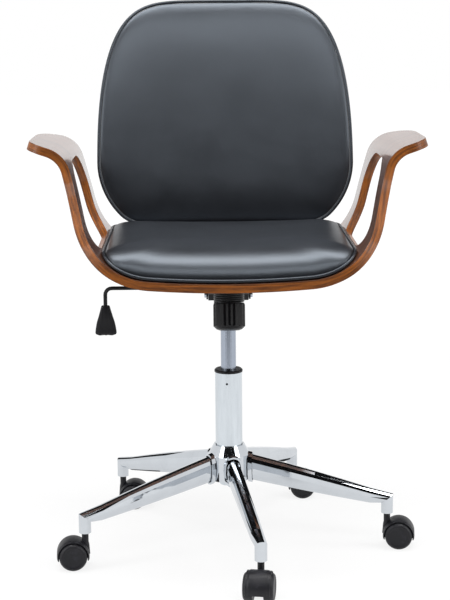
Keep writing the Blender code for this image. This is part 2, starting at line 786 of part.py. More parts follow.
def build_seat_cushion(seat, leather):
    """The seat cushion, filling the band's hollow, with a pocket for the shell's foot."""
    front = (SEAT_FRONT_CORNER, SEAT_FRONT_Y)
    rear = (SEAT_REAR_CORNER, SEAT_REAR_Y)
    corners = [
        (-seat_half, front[1], front[0]), (seat_half, front[1], front[0]),
        (seat_half, rear[1], rear[0]), (-seat_half, rear[1], rear[0])]
    line = resample([Vector(point) for point in rounded_outline(corners, 10)], SEAT_LINE_POINTS)
    seam_points = [seat_edge(*point, 1.0) for point in line]
    drawn = inset([point.xy for point in seam_points], PIPING_RADIUS + 1.5 * GAP)
    floor = inset(line, 0.009)
    rings = [[seat_edge(*(point * share), 0.0) for point in floor] for share in (0.3, 0.62, 0.85)]
    rings.append([seat_edge(*point, 0.0) for point in inset(line, 0.0085)])
    for lift in (-0.0025, 0.0012):
        rings.append([Vector((*near.xy, point.z + lift)) for near, point in zip(drawn, seam_points)])
    crown_z = BAND_UNDERSIDE_Z + shell_rest + SEAT_CROWN_HEIGHT
    edge_ring = rings[-1]
    for share in (0.965, 0.91, 0.82, 0.68, 0.48, 0.24):
        ring = []
        for point in edge_ring:
            x = point.x * share
            top = crown_z + x ** 2 / (2 * SEAT_DISH_RADIUS)
            height = point.z + (top - point.z) * (1 - share ** SEAT_CROWN_POWER)
            ring.append(Vector((x, point.y * share - SEAT_CROWN_SHIFT * (1 - share), height)))
        rings.append(ring)
    mesh = loft("seat_cushion", rings)
    pocket = SHELL_FOOT_HALF * FLOOR_RADIUS / (FLOOR_RADIUS - shell_rest - SHELL_THICKNESS) + 2 * GAP
    pocket_front = SHELL_FOOT_FRONT_Y - 2 * GAP
    pocket_rear = SEAT_REAR_Y + 0.04
    corners = [(-pocket, pocket_front), (pocket, pocket_front), (pocket, pocket_rear), (-pocket, pocket_rear)]
    creases = [s for s in band.stations[1:] if s < pocket]
    folds = ([-s for s in reversed(creases)] + [0.0] + creases, [])
    cutter = bent_sheet(
        "pocket", corners, [], folds, band_surface, BAND_THICKNESS - 0.004, shell_rest + SHELL_THICKNESS + 2 * GAP)
    mesh = combine(mesh, cutter)
    place("seat_cushion", mesh, leather, seat)
    piping = tube("seat_piping", seam_points, PIPING_RADIUS, 1, True, leather, seat)
    piping.location = -world_place(seat)


def leg_section(radius, top, bottom, width):
    """Return an upright ring of the leg, counted from its top."""
    ring = []
    for step in range(LEG_POINTS):
        angle = math.tau * step / LEG_POINTS
        across = math.copysign(abs(math.sin(angle)) ** (2 / LEG_ROUNDNESS), math.sin(angle))
        along = math.copysign(abs(math.cos(angle)) ** (2 / LEG_ROUNDNESS), math.cos(angle))
        height = (top + bottom) / 2 + (top - bottom) / 2 * along
        ring.append(Vector((radius, across * width / 2, height)))
    return ring


def leg_top(radius):
    """Return the height of the leg's upper line."""
    return LEG_TOP_Z - 0.225 * (radius - LEG_ROOT_RADIUS) - 0.16 * (radius - LEG_ROOT_RADIUS) ** 2


def leg_bottom(radius):
    """Return the height of the leg's lower line."""
    return leg_top(LEG_ROOT_RADIUS) - LEG_HEIGHT - 0.193 * (radius - LEG_ROOT_RADIUS) + (
        0.10 * (radius - LEG_ROOT_RADIUS) ** 2)


def leg_mesh(name):
    """Return one leg along +X, with its upright caster socket."""
    rings = []
    for radius in (LEG_ROOT_RADIUS, 0.06, 0.11, 0.16, 0.21, 0.262):
        share = (radius - LEG_ROOT_RADIUS) / (0.262 - LEG_ROOT_RADIUS)
        width = LEG_WIDTH + (LEG_END_WIDTH - LEG_WIDTH) * share
        rings.append(leg_section(radius, leg_top(radius), leg_bottom(radius), width))
    mitre = []
    low = []
    for step in range(LEG_POINTS):
        angle = math.tau * step / LEG_POINTS
        x = SOCKET_CIRCLE + SOCKET_RADIUS * math.cos(angle)
        y = SOCKET_RADIUS * math.sin(angle)
        share = (1 + math.cos(angle)) / 2
        height = SOCKET_INNER_HEIGHT + (SOCKET_OUTER_HEIGHT - SOCKET_INNER_HEIGHT) * share
        mitre.append(Vector((x, y, SOCKET_BOTTOM_Z + height)))
        low.append(Vector((x, y, SOCKET_BOTTOM_Z)))
    rings += [mitre, low]
    bore = STEM_RADIUS + GAP
    for height in (0.0, STEM_INSERTION + 2 * GAP):
        ring = []
        for step in range(LEG_POINTS):
            angle = math.tau * step / LEG_POINTS
            ring.append(Vector((
                SOCKET_CIRCLE + bore * math.cos(angle), bore * math.sin(angle), SOCKET_BOTTOM_Z + height)))
        rings.append(ring)
    return loft(name, rings)


def leg_turn(index):
    """Return the turn that brings a leg along +X to its place."""
    angle = FIRST_LEG_ANGLE - index * 360 / LEG_COUNT - 90
    return Matrix.Rotation(math.radians(angle), 4, "Z")


def leg_sleeve(name, start, end, margin):
    """Return a straight piece of the leg's section, wider by a margin."""
    rings = [
        leg_section(radius, leg_top(radius) + margin, leg_bottom(radius) - margin, LEG_WIDTH + 2 * margin)
        for radius in (start, end)]
    return loft(name, rings)


def build_base(chrome):
    """The hub with five arched lips, and the five legs."""
    tube_outer = LEG_ROOT_RADIUS - GAP
    bore_top = COLUMN_RADIUS + GAP
    bore_bottom = COLUMN_END_RADIUS + GAP + 0.0003
    shoulder_z = HUB_TOP_Z - HUB_SHOULDER_DROP
    profile = [
        (bore_top, HUB_TOP_Z), (tube_outer, HUB_TOP_Z), (HUB_SKIRT_RADIUS - 0.0016, shoulder_z + 0.002),
        (HUB_SKIRT_RADIUS, shoulder_z - 0.001), (HUB_SKIRT_RADIUS, HUB_BOTTOM_Z),
        (HUB_SKIRT_RADIUS - HUB_WALL, HUB_BOTTOM_Z), (HUB_SKIRT_RADIUS - HUB_WALL, shoulder_z - 0.001),
        (tube_outer, HUB_TOP_Z - 0.005), (tube_outer, HUB_BOTTOM_Z), (bore_bottom, HUB_BOTTOM_Z)]
    hub = turned("base_hub", profile, 30, closed=True)
    lip_margin = LEG_OPENING_GAP + LIP_WALL
    for index in range(LEG_COUNT):
        lip = leg_sleeve("lip", HUB_SKIRT_RADIUS - HUB_WALL + 0.001, HUB_SKIRT_RADIUS + LIP_REACH, lip_margin)
        hub = combine(hub, moved(lip, leg_turn(index)), "UNION")
    for index in range(LEG_COUNT):
        opening = leg_sleeve("opening", LEG_ROOT_RADIUS + 0.0002, 0.07, LEG_OPENING_GAP)
        hub = combine(hub, moved(opening, leg_turn(index)))
    add_part("base_hub", hub, chrome)
    for index in range(LEG_COUNT):
        name = f"base_leg_{index + 1}"
        leg = add_part(name, leg_mesh(name), chrome)
        leg.rotation_euler = leg_turn(index).to_euler()


def build_casters(plastic, steel):
    """Five twin-wheel casters, each free to swivel in its leg."""
    to_axle = Matrix.Rotation(math.radians(-90), 4, "X")
    half = HOOD_WIDTH / 2
    web = WEB_THICKNESS / 2
    inner = HOOD_RADIUS - HOOD_WALL
    bore = AXLE_RADIUS + GAP
    crown = half - 0.0065
    profile = [
        (bore, -web), (inner, -web), (inner, -half), (HOOD_RADIUS - 0.0015, -half), (HOOD_RADIUS, -crown),
        (HOOD_RADIUS, crown), (HOOD_RADIUS - 0.0015, half), (inner, half), (inner, web), (bore, web)]
    face = WHEEL_INNER_GAP / 2
    outer = face + WHEEL_WIDTH
    axle_half = outer - 0.0045
    wheel_profile = [
        (0, outer), (0.0180, outer - 0.0003), (0.0228, outer - 0.0020), (WHEEL_RADIUS, outer - 0.0060),
        (WHEEL_RADIUS, face), (bore, face), (bore, axle_half + GAP), (0, axle_half + GAP)]
    facet = math.cos(math.pi / WHEEL_STEPS)
    wheel_profile = [(radius / facet, height) for radius, height in wheel_profile]
    for index, heading in enumerate(CASTER_HEADINGS):
        number = index + 1
        socket = leg_turn(index) @ Vector((SOCKET_CIRCLE, 0, 0))
        swivel = empty(f"caster_{number}", socket, heading)
        hood = moved(turned("hood", profile, 20, closed=True), to_axle)
        hood.transform(Matrix.Translation((CASTER_TRAIL, 0, WHEEL_RADIUS)))
        neck_foot = WHEEL_RADIUS + web
        neck_top = SOCKET_BOTTOM_Z - GAP
        neck = rod("neck", NECK_RADIUS, (0, 0, neck_foot), (0, 0, neck_top), 14)
        hood = combine(hood, neck, "UNION")
        outline = [(-0.04, -0.02), (0.04, -0.02), (0.04, HOOD_SKIRT_Z), (-0.04, HOOD_SKIRT_Z)]
        hood = combine(hood, prism("floor", outline, 0.14, 0.0))
        pocket_z = neck_top - STEM_SEAT
        bore_tool = rod("bore", STEM_RADIUS + GAP, (0, 0, pocket_z), (0, 0, neck_top + 0.01), 14)
        hood = combine(hood, bore_tool)
        add_part(f"caster_hood_{number}", hood, plastic, swivel)
        stem = rod(
            "stem", STEM_RADIUS, (0, 0, pocket_z + GAP), (0, 0, SOCKET_BOTTOM_Z + STEM_INSERTION), 14)
        add_part(f"caster_stem_{number}", stem, steel, swivel)
        centre = (CASTER_TRAIL, 0, WHEEL_RADIUS)
        axle = turned(
            "axle", [(0, -axle_half), (AXLE_RADIUS, -axle_half), (AXLE_RADIUS, axle_half), (0, axle_half)], 12)
        add_part(f"caster_axle_{number}", moved(axle, to_axle), steel, swivel, centre)
        for side, label in ((1, "left"), (-1, "right")):
            wheel = moved(turned("wheel", wheel_profile, WHEEL_STEPS), to_axle)
            facet_turn = Matrix.Rotation(math.pi / WHEEL_STEPS, 4, "Y")
            wheel.transform(Matrix.Rotation(math.pi if side < 0 else 0, 4, "Z") @ facet_turn)
            add_part(f"caster_wheel_{number}_{label}", wheel, plastic, swivel, centre)


def build_column(chrome, steel, plastic, dark):
    """The column tube with its bushing, and the gas spring's rod with bearing and clip."""
    inner = COLUMN_RADIUS - COLUMN_WALL
    step_z = HUB_TOP_Z + 0.0004
    taper_z = COLUMN_BOTTOM_Z + 0.0075
    floor_z = COLUMN_BOTTOM_Z + COLUMN_FLOOR
    hole = ROD_RADIUS + 0.0005
    profile = [
        (COLUMN_RADIUS, COLUMN_TOP_Z), (COLUMN_RADIUS, step_z), (COLUMN_END_RADIUS, taper_z),
        (COLUMN_END_RADIUS - 0.0008, COLUMN_BOTTOM_Z + 0.003), (COLUMN_END_RADIUS - 0.003, COLUMN_BOTTOM_Z),
        (hole, COLUMN_BOTTOM_Z), (hole, floor_z), (COLUMN_END_RADIUS - COLUMN_WALL, floor_z),
        (COLUMN_END_RADIUS - COLUMN_WALL, taper_z), (inner, step_z), (inner, COLUMN_TOP_Z)]
    tube_mesh = turned("column_tube", profile, 32, closed=True)
    for x, z in ((-0.009, COLUMN_BOTTOM_Z + 0.009), (-0.0035, 0.3055)):
        tube_mesh = combine(tube_mesh, rod("hole", PIN_HOLE_RADIUS, (x, -0.035, z), (x, -0.012, z), 10))
    add_part("column_tube", tube_mesh, chrome)
    slide = CYLINDER_RADIUS + GAP
    collar_z = COLUMN_TOP_Z + GAP
    profile = [
        (slide, collar_z + COLLAR_HEIGHT), (COLUMN_RADIUS - 0.001, collar_z + COLLAR_HEIGHT),
        (COLUMN_RADIUS + COLLAR_OVERHANG, collar_z + COLLAR_HEIGHT - 0.002),
        (COLUMN_RADIUS + COLLAR_OVERHANG, collar_z), (inner - GAP, collar_z),
        (inner - GAP, COLUMN_TOP_Z - BUSHING_LENGTH), (slide, COLUMN_TOP_Z - BUSHING_LENGTH)]
    add_part("column_bushing", turned("column_bushing", profile, 32, closed=True), plastic)
    spin = empty("seat_swivel")
    bearing_z = floor_z + GAP
    bearing_top = bearing_z + BEARING_HEIGHT
    rod_top = cylinder_bottom_z + ROD_ENTRY
    shoulder_z = bearing_top + GAP
    rod_bottom = COLUMN_BOTTOM_Z - GAP - CLIP_THICKNESS - 0.0012
    profile = [
        (0, rod_top), (ROD_RADIUS, rod_top), (ROD_RADIUS, shoulder_z + 0.006), (ROD_SHOULDER, shoulder_z + 0.006),
        (ROD_SHOULDER, shoulder_z), (ROD_RADIUS, shoulder_z), (ROD_RADIUS, rod_bottom), (0, rod_bottom)]
    add_part("piston_rod", turned("piston_rod", profile, 16), steel, spin)
    hole = ROD_RADIUS + GAP
    profile = [(hole, bearing_top), (BEARING_RADIUS, bearing_top), (BEARING_RADIUS, bearing_z), (hole, bearing_z)]
    add_part("thrust_bearing", turned("thrust_bearing", profile, 20, closed=True), steel, spin)
    clip_top = COLUMN_BOTTOM_Z - GAP
    clip_low = clip_top - CLIP_THICKNESS
    profile = [(hole, clip_top), (CLIP_RADIUS, clip_top), (CLIP_RADIUS, clip_low), (hole, clip_low)]
    add_part("retaining_clip", turned("retaining_clip", profile, 20, closed=True), dark, spin)
    return spin


def build_lift(spin, steel, dark, plastic):
    """What rises with the gas cylinder: cylinder, valve, housing, pivot shaft, spring and stop."""
    lift = empty("height_slide", (0, 0, cylinder_bottom_z), 0.0, spin)
    button_bore = VALVE_RADIUS + GAP
    top_radius = CYLINDER_RADIUS - CYLINDER_TAPER
    taper_start = housing_floor_z - BOSS_LENGTH + 0.002
    rod_bore = ROD_RADIUS + GAP
    profile = [
        (0, cylinder_top_z - VALVE_DEPTH), (button_bore, cylinder_top_z - VALVE_DEPTH), (button_bore, cylinder_top_z),
        (top_radius - 0.001, cylinder_top_z), (top_radius, cylinder_top_z - 0.001), (CYLINDER_RADIUS, taper_start),
        (CYLINDER_RADIUS, cylinder_bottom_z), (rod_bore, cylinder_bottom_z),
        (rod_bore, cylinder_bottom_z + LIFT_TRAVEL + ROD_ENTRY + 0.005),
        (0, cylinder_bottom_z + LIFT_TRAVEL + ROD_ENTRY + 0.005)]
    place("gas_cylinder", turned("gas_cylinder", profile, 28), steel, lift)
    valve_top = lever_z - LEVER_ROD_RADIUS - GAP
    valve_low = cylinder_top_z - VALVE_DEPTH + VALVE_STROKE + GAP
    valve = empty("valve_press", (0, 0, valve_top), 0.0, lift)
    profile = [
        (0, valve_top), (VALVE_RADIUS - 0.001, valve_top), (VALVE_RADIUS, valve_top - 0.001),
        (VALVE_RADIUS, valve_low), (0, valve_low)]
    place("valve_button", turned("valve_button", profile, 16), steel, valve)
    build_housing(lift, dark)
    ends = HOUSING_HALF + 0.0005 + EAR_THICKNESS + GAP
    far = ends + SHAFT_HEAD_LENGTH
    profile = [
        (0, -far), (SHAFT_HEAD_RADIUS, -far), (SHAFT_HEAD_RADIUS, -ends), (SHAFT_RADIUS, -ends), (SHAFT_RADIUS, ends),
        (SHAFT_HEAD_RADIUS, ends), (SHAFT_HEAD_RADIUS, far), (0, far)]
    shaft = moved(turned("pivot_shaft", profile, 16), Matrix.Rotation(math.radians(90), 4, "Y"))
    shaft.transform(Matrix.Translation((0, PIVOT_Y, pivot_z)))
    place("pivot_shaft", shaft, steel, lift)
    build_spring(lift, dark)
    bumper_top = plate_bottom_z - GAP
    corners = [
        (HOUSING_FRONT_Y + 0.001, bumper_top - BUMPER_HEIGHT), (HOUSING_FRONT_Y + 0.010, bumper_top - BUMPER_HEIGHT),
        (HOUSING_FRONT_Y + 0.009, bumper_top), (HOUSING_FRONT_Y + 0.002, bumper_top)]
    place("front_bumper", prism("front_bumper", corners, 0.024), plastic, lift)
    return lift


def housing_outline(wall):
    """Return the (y, z) outline of the housing seen from its side, drawn in by a wall."""
    slope = math.tan(lean)
    floor_at_knob = knob_floor.z
    front = HOUSING_FRONT_Y + wall
    rear = HOUSING_REAR_Y - wall
    rise = wall * 1.03
    top = plate_bottom_z - GAP - BUMPER_HEIGHT - GAP
    outline = [
        (front, floor_at_knob + slope * (KNOB_Y - front) + rise),
        (HOUSING_KNEE_Y, floor_at_knob + slope * (KNOB_Y - HOUSING_KNEE_Y) + rise),
        (HOUSING_KNEE_Y + 0.010 + wall * 0.4, housing_floor_z + wall), (rear, housing_floor_z + wall)]
    if wall:
        outline += [
            (rear, top + 0.02), (front + HOUSING_FLANGE, top + 0.02), (front + HOUSING_FLANGE, top - wall),
            (front, top - wall)]
    else:
        outline += [
            (rear, pivot_z + 0.006), (0.0, pivot_z + 0.0135), (PIVOT_Y + 0.015, pivot_z + 0.0165),
            (PIVOT_Y - 0.03, top), (front, top)]
    return outline


def build_housing(lift, dark):
    """The pressed housing: a channel open at its top, with the cone that grips the gas cylinder."""
    outer = prism("outer", housing_outline(0.0), 2 * HOUSING_HALF)
    inner = prism("inner", housing_outline(HOUSING_WALL), 2 * (HOUSING_HALF - HOUSING_WALL))
    housing = combine(outer, inner)
    boss_low = housing_floor_z - BOSS_LENGTH
    profile = [
        (0, housing_floor_z + 0.0012), (BOSS_RADIUS + 0.002, housing_floor_z + 0.0012),
        (BOSS_RADIUS + 0.002, housing_floor_z - 0.002), (BOSS_RADIUS, housing_floor_z - 0.004),
        (BOSS_RADIUS - 0.0012, boss_low + 0.001), (BOSS_RADIUS - 0.002, boss_low), (0, boss_low)]
    housing = combine(housing, turned("boss", profile, 28), "UNION")
    top_radius = CYLINDER_RADIUS - CYLINDER_TAPER + GAP
    profile = [
        (0, cylinder_top_z + 0.01), (top_radius, cylinder_top_z + 0.01), (top_radius, cylinder_top_z - 0.001),
        (CYLINDER_RADIUS + GAP, boss_low + 0.002), (CYLINDER_RADIUS + GAP, boss_low - 0.01), (0, boss_low - 0.01)]
    housing = combine(housing, turned("bore", profile, 28))
    far = HOUSING_HALF + 0.01
    shaft = rod("shaft", SHAFT_RADIUS + GAP, (-far, PIVOT_Y, pivot_z), (far, PIVOT_Y, pivot_z), 16)
    housing = combine(housing, shaft)
    ball = rod("ball", LEVER_BALL_RADIUS + GAP, (-far, 0, lever_z), (-0.02, 0, lever_z), 20)
    housing = combine(housing, ball)
    slot = bpy.data.meshes.new("slot")
    shape = bmesh.new()
    bmesh.ops.create_cube(shape, size=1.0)
    shape.to_mesh(slot)
    shape.free()
    slot.transform(
        Matrix.Translation(knob_floor) @ Matrix.Rotation(-lean, 4, "X") @ Matrix.Translation((0, 0.001, 0))
        @ Matrix.Diagonal((SCREW_SLOT_WIDTH, SCREW_SLOT_LENGTH, 0.03, 1)))
    housing = combine(housing, slot)
    place("mechanism_housing", housing, dark, lift)


def build_spring(lift, dark):
    """The tilt tension spring, one unbroken tube from the housing's floor to the washer."""
    per_turn = 10
    count = round(SPRING_TURNS * per_turn)
    first = SPRING_WIRE_RADIUS + GAP
    last = SPRING_LENGTH - SPRING_WIRE_RADIUS - GAP
    points = []
    for step in range(count + 1):
        angle = math.tau * step / per_turn
        height = first + (last - first) * step / count
        points.append((SPRING_RADIUS * math.cos(angle), SPRING_RADIUS * math.sin(angle), height))
    spring = tube("tilt_spring", points, SPRING_WIRE_RADIUS, 1, False, dark, lift)
    spring.location = knob_floor - world_place(lift)
    spring.rotation_euler = knob_axis.to_track_quat("Z", "Y").to_euler()


def build_seat_plate(seat, dark):
    """The pressed plate under the band: two ears on the pivot shaft, and a boss for the screw."""
    corners = [
        (-0.040, PLATE_FRONT_Y, 0.010), (0.040, PLATE_FRONT_Y, 0.010), (0.052, -0.078, 0.020),
        (PLATE_HALF, -0.062, 0.012), (PLATE_HALF, PLATE_REAR_Y, 0.012), (-PLATE_HALF, PLATE_REAR_Y, 0.012),
        (-PLATE_HALF, -0.062, 0.012), (-0.052, -0.078, 0.020)]
    fold = band.stations[1]
    low = -GAP - PLATE_THICKNESS
    plate = bent_sheet(
        "seat_plate", rounded_outline(corners, 3), [], ([-fold, 0.0, fold], []), band_surface, low, -GAP)
    plate = drill_bolt_holes(plate, -0.02, 0.01)
    ear_low = pivot_z - EAR_RADIUS
    outline = [(PIVOT_Y + 0.020, plate_bottom_z + 0.0015), (PIVOT_Y - 0.020, plate_bottom_z + 0.0015)]
    for step in range(9):
        angle = math.pi + math.pi * step / 8
        outline.append((PIVOT_Y + EAR_RADIUS * math.cos(angle), ear_low + EAR_RADIUS + EAR_RADIUS * math.sin(angle)))
    centre = HOUSING_HALF + 0.0005 + EAR_THICKNESS / 2
    for side in (-1, 1):
        plate = combine(plate, prism("ear", outline, EAR_THICKNESS, side * centre), "UNION")
    far = centre + 0.01
    shaft = rod("shaft", SHAFT_RADIUS + GAP, (-far, PIVOT_Y, pivot_z), (far, PIVOT_Y, pivot_z), 16)
    plate = combine(plate, shaft)
    up = -knob_axis
    to_plate = (plate_bottom_z - knob_floor.z) / up.z
    boss = rod(
        "boss", 2 * SCREW_RADIUS, knob_floor + up * (to_plate - 0.006), knob_floor + up * (to_plate + 0.0012), 16)
    plate = combine(plate, boss, "UNION")
    bore = rod(
        "bore", SCREW_RADIUS + GAP, knob_floor + up * (to_plate - 0.02), knob_floor + up * (to_plate + 0.02), 14)
    plate = combine(plate, bore)
    place("seat_plate", plate, dark, seat)
    screw_top = knob_floor + up * (to_plate + 0.0012)
    screw_end = knob_floor + knob_axis * (SPRING_LENGTH + WASHER_THICKNESS + SCREW_IN_KNOB)
    place("tension_screw", rod("tension_screw", SCREW_RADIUS, screw_top, screw_end, 14), dark, seat)


def build_knob(seat, dark, plastic):
    """The tension knob with its grips, and the washer between spring and knob."""
    turn = knob_axis.to_track_quat("Z", "Y").to_euler()
    travel = empty("washer_travel", knob_floor - world_place(seat), 0.0, seat)
    start = SPRING_LENGTH
    bore = SCREW_RADIUS + GAP
    profile = [
        (bore, start), (WASHER_RADIUS, start), (WASHER_RADIUS, start + WASHER_THICKNESS),
        (bore, start + WASHER_THICKNESS)]
    add_part("spring_washer", turned("spring_washer", profile[::-1], 28, closed=True), dark, travel, (0, 0, 0), turn)
    start += WASHER_THICKNESS + GAP
    count = 3 * KNOB_GRIPS

    def ring(radius, height, groove=0.0):
        """Return one ring of the knob; the groove sets how deep its grips are."""
        points = []
        for step in range(count):
            angle = math.tau * step / count
            local = radius - groove * (step % 3 == 0)
            points.append((local * math.cos(angle), local * math.sin(angle), height))
        return points

    end = start + KNOB_GRIP_LENGTH
    rings = [
        ring(bore, start + SCREW_IN_KNOB + KNOB_END_CLEARANCE), ring(bore, start), ring(KNOB_RADIUS - 0.0015, start),
        ring(KNOB_RADIUS, start + 0.001, KNOB_GRIP_DEPTH), ring(KNOB_RADIUS, end - 0.001, KNOB_GRIP_DEPTH),
        ring(KNOB_RADIUS - 0.0015, end), ring(KNOB_DOME_RADIUS + 0.003, end + KNOB_DOME_LENGTH * 0.7),
        ring(KNOB_DOME_RADIUS - 0.002, end + KNOB_DOME_LENGTH)]
    add_part("tension_knob", loft("tension_knob", rings), plastic, travel, (0, 0, 0), turn)


def build_lever(lift, steel, plastic):
    """The height lever: ball pivot in the housing's wall, bent rod and flat grip."""
    ball_x = -HOUSING_HALF + HOUSING_WALL / 2
    pivot = empty("lever_lift", Vector((ball_x, 0, lever_z)) - world_place(lift), 0.0, lift)
    half = LEVER_BALL_LENGTH / 2
    bore = LEVER_ROD_RADIUS + GAP
    profile = [
        (bore, half), (LEVER_BALL_RADIUS * 0.76, half), (LEVER_BALL_RADIUS * 0.94, half * 0.5), (LEVER_BALL_RADIUS, 0),
        (LEVER_BALL_RADIUS * 0.94, -half * 0.5), (LEVER_BALL_RADIUS * 0.76, -half), (bore, -half)]
    ball = moved(turned("lever_pivot", profile, 20, closed=True), Matrix.Rotation(math.radians(90), 4, "Y"))
    add_part("lever_pivot", ball, plastic, pivot)
    pull = empty("lever_pull", (0, 0, 0), 0.0, pivot)
    bend_x = LEVER_BEND_X + LEVER_BEND_RADIUS
    points = [(LEVER_INNER_X, 0, lever_z), (bend_x, 0, lever_z)]
    for step in range(1, 6):
        angle = math.pi / 2 * step / 5
        points.append((
            bend_x - LEVER_BEND_RADIUS * math.sin(angle), 0,
            lever_z - LEVER_BEND_RADIUS * (1 - math.cos(angle))))
    points.append((LEVER_BEND_X, 0, lever_z - LEVER_DROP))
    lever = tube("lever_rod", points, LEVER_ROD_RADIUS, 2, False, steel, pull)
    lever.location = -world_place(pull)
    grip_top = lever_z - LEVER_DROP + GRIP_ROD_DEPTH
    count = 28

    def ring(width, thickness, height, rib=0.0, lobe=0.0):
        """Return one level ring of the grip, with a centre rib and a lobed edge."""
        points = []
        for step in range(count):
            angle = math.tau * step / count
            across = math.copysign(abs(math.cos(angle)) ** 0.6, math.cos(angle)) * width / 2
            side = math.copysign(abs(math.sin(angle)) ** 0.6, math.sin(angle)) * thickness / 2
            middle = math.exp(-(across / GRIP_RIB_WIDTH * 2) ** 4)
            side += math.copysign(rib * (middle - 0.5), side) * (abs(math.sin(angle)) > 0.3)
            drop = lobe * (1 + math.cos(3 * math.tau * across / width)) / 2
            points.append((LEVER_BEND_X + across, side, height - drop))
        return points

    def bore_ring(height):
        """Return a ring of the hole for the rod."""
        return [(
            LEVER_BEND_X + bore * math.cos(math.tau * step / count), bore * math.sin(math.tau * step / count), height)
            for step in range(count)]

    low = grip_top - GRIP_LENGTH
    rings = [
        bore_ring(grip_top - GRIP_ROD_DEPTH - GAP), bore_ring(grip_top),
        ring(GRIP_TOP_WIDTH - 0.003, 0.0105, grip_top), ring(GRIP_TOP_WIDTH, 0.0125, grip_top - 0.0015, 0.0002),
        ring(0.0215, 0.0125, grip_top - 0.012, 0.001), ring(0.0275, 0.0120, grip_top - 0.022, 0.0012),
        ring(0.0325, 0.0110, grip_top - GRIP_RIB_LENGTH, 0.0008), ring(0.0365, 0.0098, grip_top - 0.040),
        ring(GRIP_WIDTH, GRIP_THICKNESS, low + 0.006), ring(GRIP_WIDTH - 0.001, GRIP_THICKNESS, low + 0.003, 0, 0.0008),
        ring(GRIP_WIDTH - 0.008, GRIP_THICKNESS - 0.004, low + GRIP_LOBE, 0, GRIP_LOBE)]
    place("lever_grip", loft("lever_grip", rings), plastic, pull)


def build_chair():
    """Build every piece."""
    clear_scene()
    chrome = make_material("chrome", (0.72, 0.74, 0.77), 0.08, 1.0)
    steel = make_material("brushed_steel", (0.42, 0.45, 0.50), 0.30, 1.0)
    dark = make_material("dark_steel", (0.03, 0.03, 0.033), 0.45, 0.4)
    plastic = make_material("black_plastic", (0.02, 0.02, 0.022), 0.40)
    rubber = make_material("wheel_rubber", (0.018, 0.018, 0.02), 0.50)
    leather = make_material("black_leather", (0.025, 0.026, 0.03), 0.42)
    wood = make_material("plywood", (0.42, 0.17, 0.04), 0.35)
    build_base(chrome)
    build_casters(rubber, steel)
    spin = build_column(chrome, steel, plastic, dark)
    lift = build_lift(spin, steel, dark, rubber)
    seat = empty("seat_tilt", Vector((0, PIVOT_Y, pivot_z)) - world_place(lift), 0.0, lift)
    build_seat_plate(seat, dark)
    build_knob(seat, dark, plastic)
    build_lever(lift, steel, plastic)
    build_band(seat, wood, steel)
    build_back_shell(seat, wood)
    build_seat_cushion(seat, leather)
    build_back_cushion(seat, leather)


build_chair()
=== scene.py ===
"""Studio scene of an office chair with bent plywood arms, leather cushions and a chromed star base."""

import logging
import math
from dataclasses import dataclass, field, fields
from enum import Enum
from typing import Any, Callable, Iterable, Optional, Sequence, Union

import bmesh
import bpy
from mathutils import Matrix, Vector, noise


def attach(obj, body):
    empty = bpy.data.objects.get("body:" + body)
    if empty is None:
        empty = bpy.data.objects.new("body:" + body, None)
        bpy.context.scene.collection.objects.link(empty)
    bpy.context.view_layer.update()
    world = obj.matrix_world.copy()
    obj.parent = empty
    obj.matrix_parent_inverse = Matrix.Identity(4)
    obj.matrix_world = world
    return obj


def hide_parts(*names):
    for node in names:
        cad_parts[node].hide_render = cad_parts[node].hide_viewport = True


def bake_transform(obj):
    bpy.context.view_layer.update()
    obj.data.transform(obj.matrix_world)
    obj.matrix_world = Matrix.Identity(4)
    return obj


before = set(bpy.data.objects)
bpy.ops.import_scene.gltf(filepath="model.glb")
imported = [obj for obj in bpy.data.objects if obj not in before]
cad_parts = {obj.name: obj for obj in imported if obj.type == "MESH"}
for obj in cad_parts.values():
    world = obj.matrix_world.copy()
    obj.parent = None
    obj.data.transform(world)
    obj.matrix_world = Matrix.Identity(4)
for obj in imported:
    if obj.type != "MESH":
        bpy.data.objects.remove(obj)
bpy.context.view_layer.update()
log = logging.getLogger("chair")

Number = Union[int, float]
Link = Union["Value", "Colour", bpy.types.NodeSocket, Number, Sequence[float]]


class Arm(Enum):
    """The two arms of the chair, by the sign of their X."""

    LEFT = 1
    RIGHT = -1


class Value:
    """A number socket of a shader, which can be used in plain arithmetic."""

    def __init__(self, shader: "Shader", socket: bpy.types.NodeSocket) -> None:
        """Keep the shader and the socket."""
        self.shader = shader
        self.socket = socket

    def _math(self, operation: str, first: Link, second: Link) -> "Value":
        """Return the result of one Math node.

        Args:
            operation: The Math node's operation.
            first: Its first input.
            second: Its second input.

        Returns:
            The node's output.
        """
        node = self.shader.node("ShaderNodeMath", {"operation": operation}, {0: first, 1: second})
        return Value(self.shader, node.outputs[0])

    def __add__(self, other: Link) -> "Value":
        """Add."""
        return self._math("ADD", self, other)

    def __radd__(self, other: Link) -> "Value":
        """Add to a number."""
        return self._math("ADD", other, self)

    def __sub__(self, other: Link) -> "Value":
        """Subtract."""
        return self._math("SUBTRACT", self, other)

    def __rsub__(self, other: Link) -> "Value":
        """Subtract from a number."""
        return self._math("SUBTRACT", other, self)

    def __mul__(self, other: Link) -> "Value":
        """Multiply."""
        return self._math("MULTIPLY", self, other)

    def fraction(self) -> "Value":
        """Return the part after the decimal point."""
        return self._math("FRACT", self, 0.0)

    def distance(self, centre: Number) -> "Value":
        """Return how far the value lies from a centre."""
        apart = self - centre
        return self._math("ABSOLUTE", apart, 0.0)

    def step(self, start: Number, end: Number) -> "Value":
        """Return a smooth step of the value.

        Args:
            start: Where the result is 0.
            end: Where the result is 1.

        Returns:
            The stepped value.
        """
        node = self.shader.node(
            "ShaderNodeMapRange", {"interpolation_type": "SMOOTHSTEP"},
            {"Value": self, "From Min": start, "From Max": end})
        return Value(self.shader, node.outputs[0])


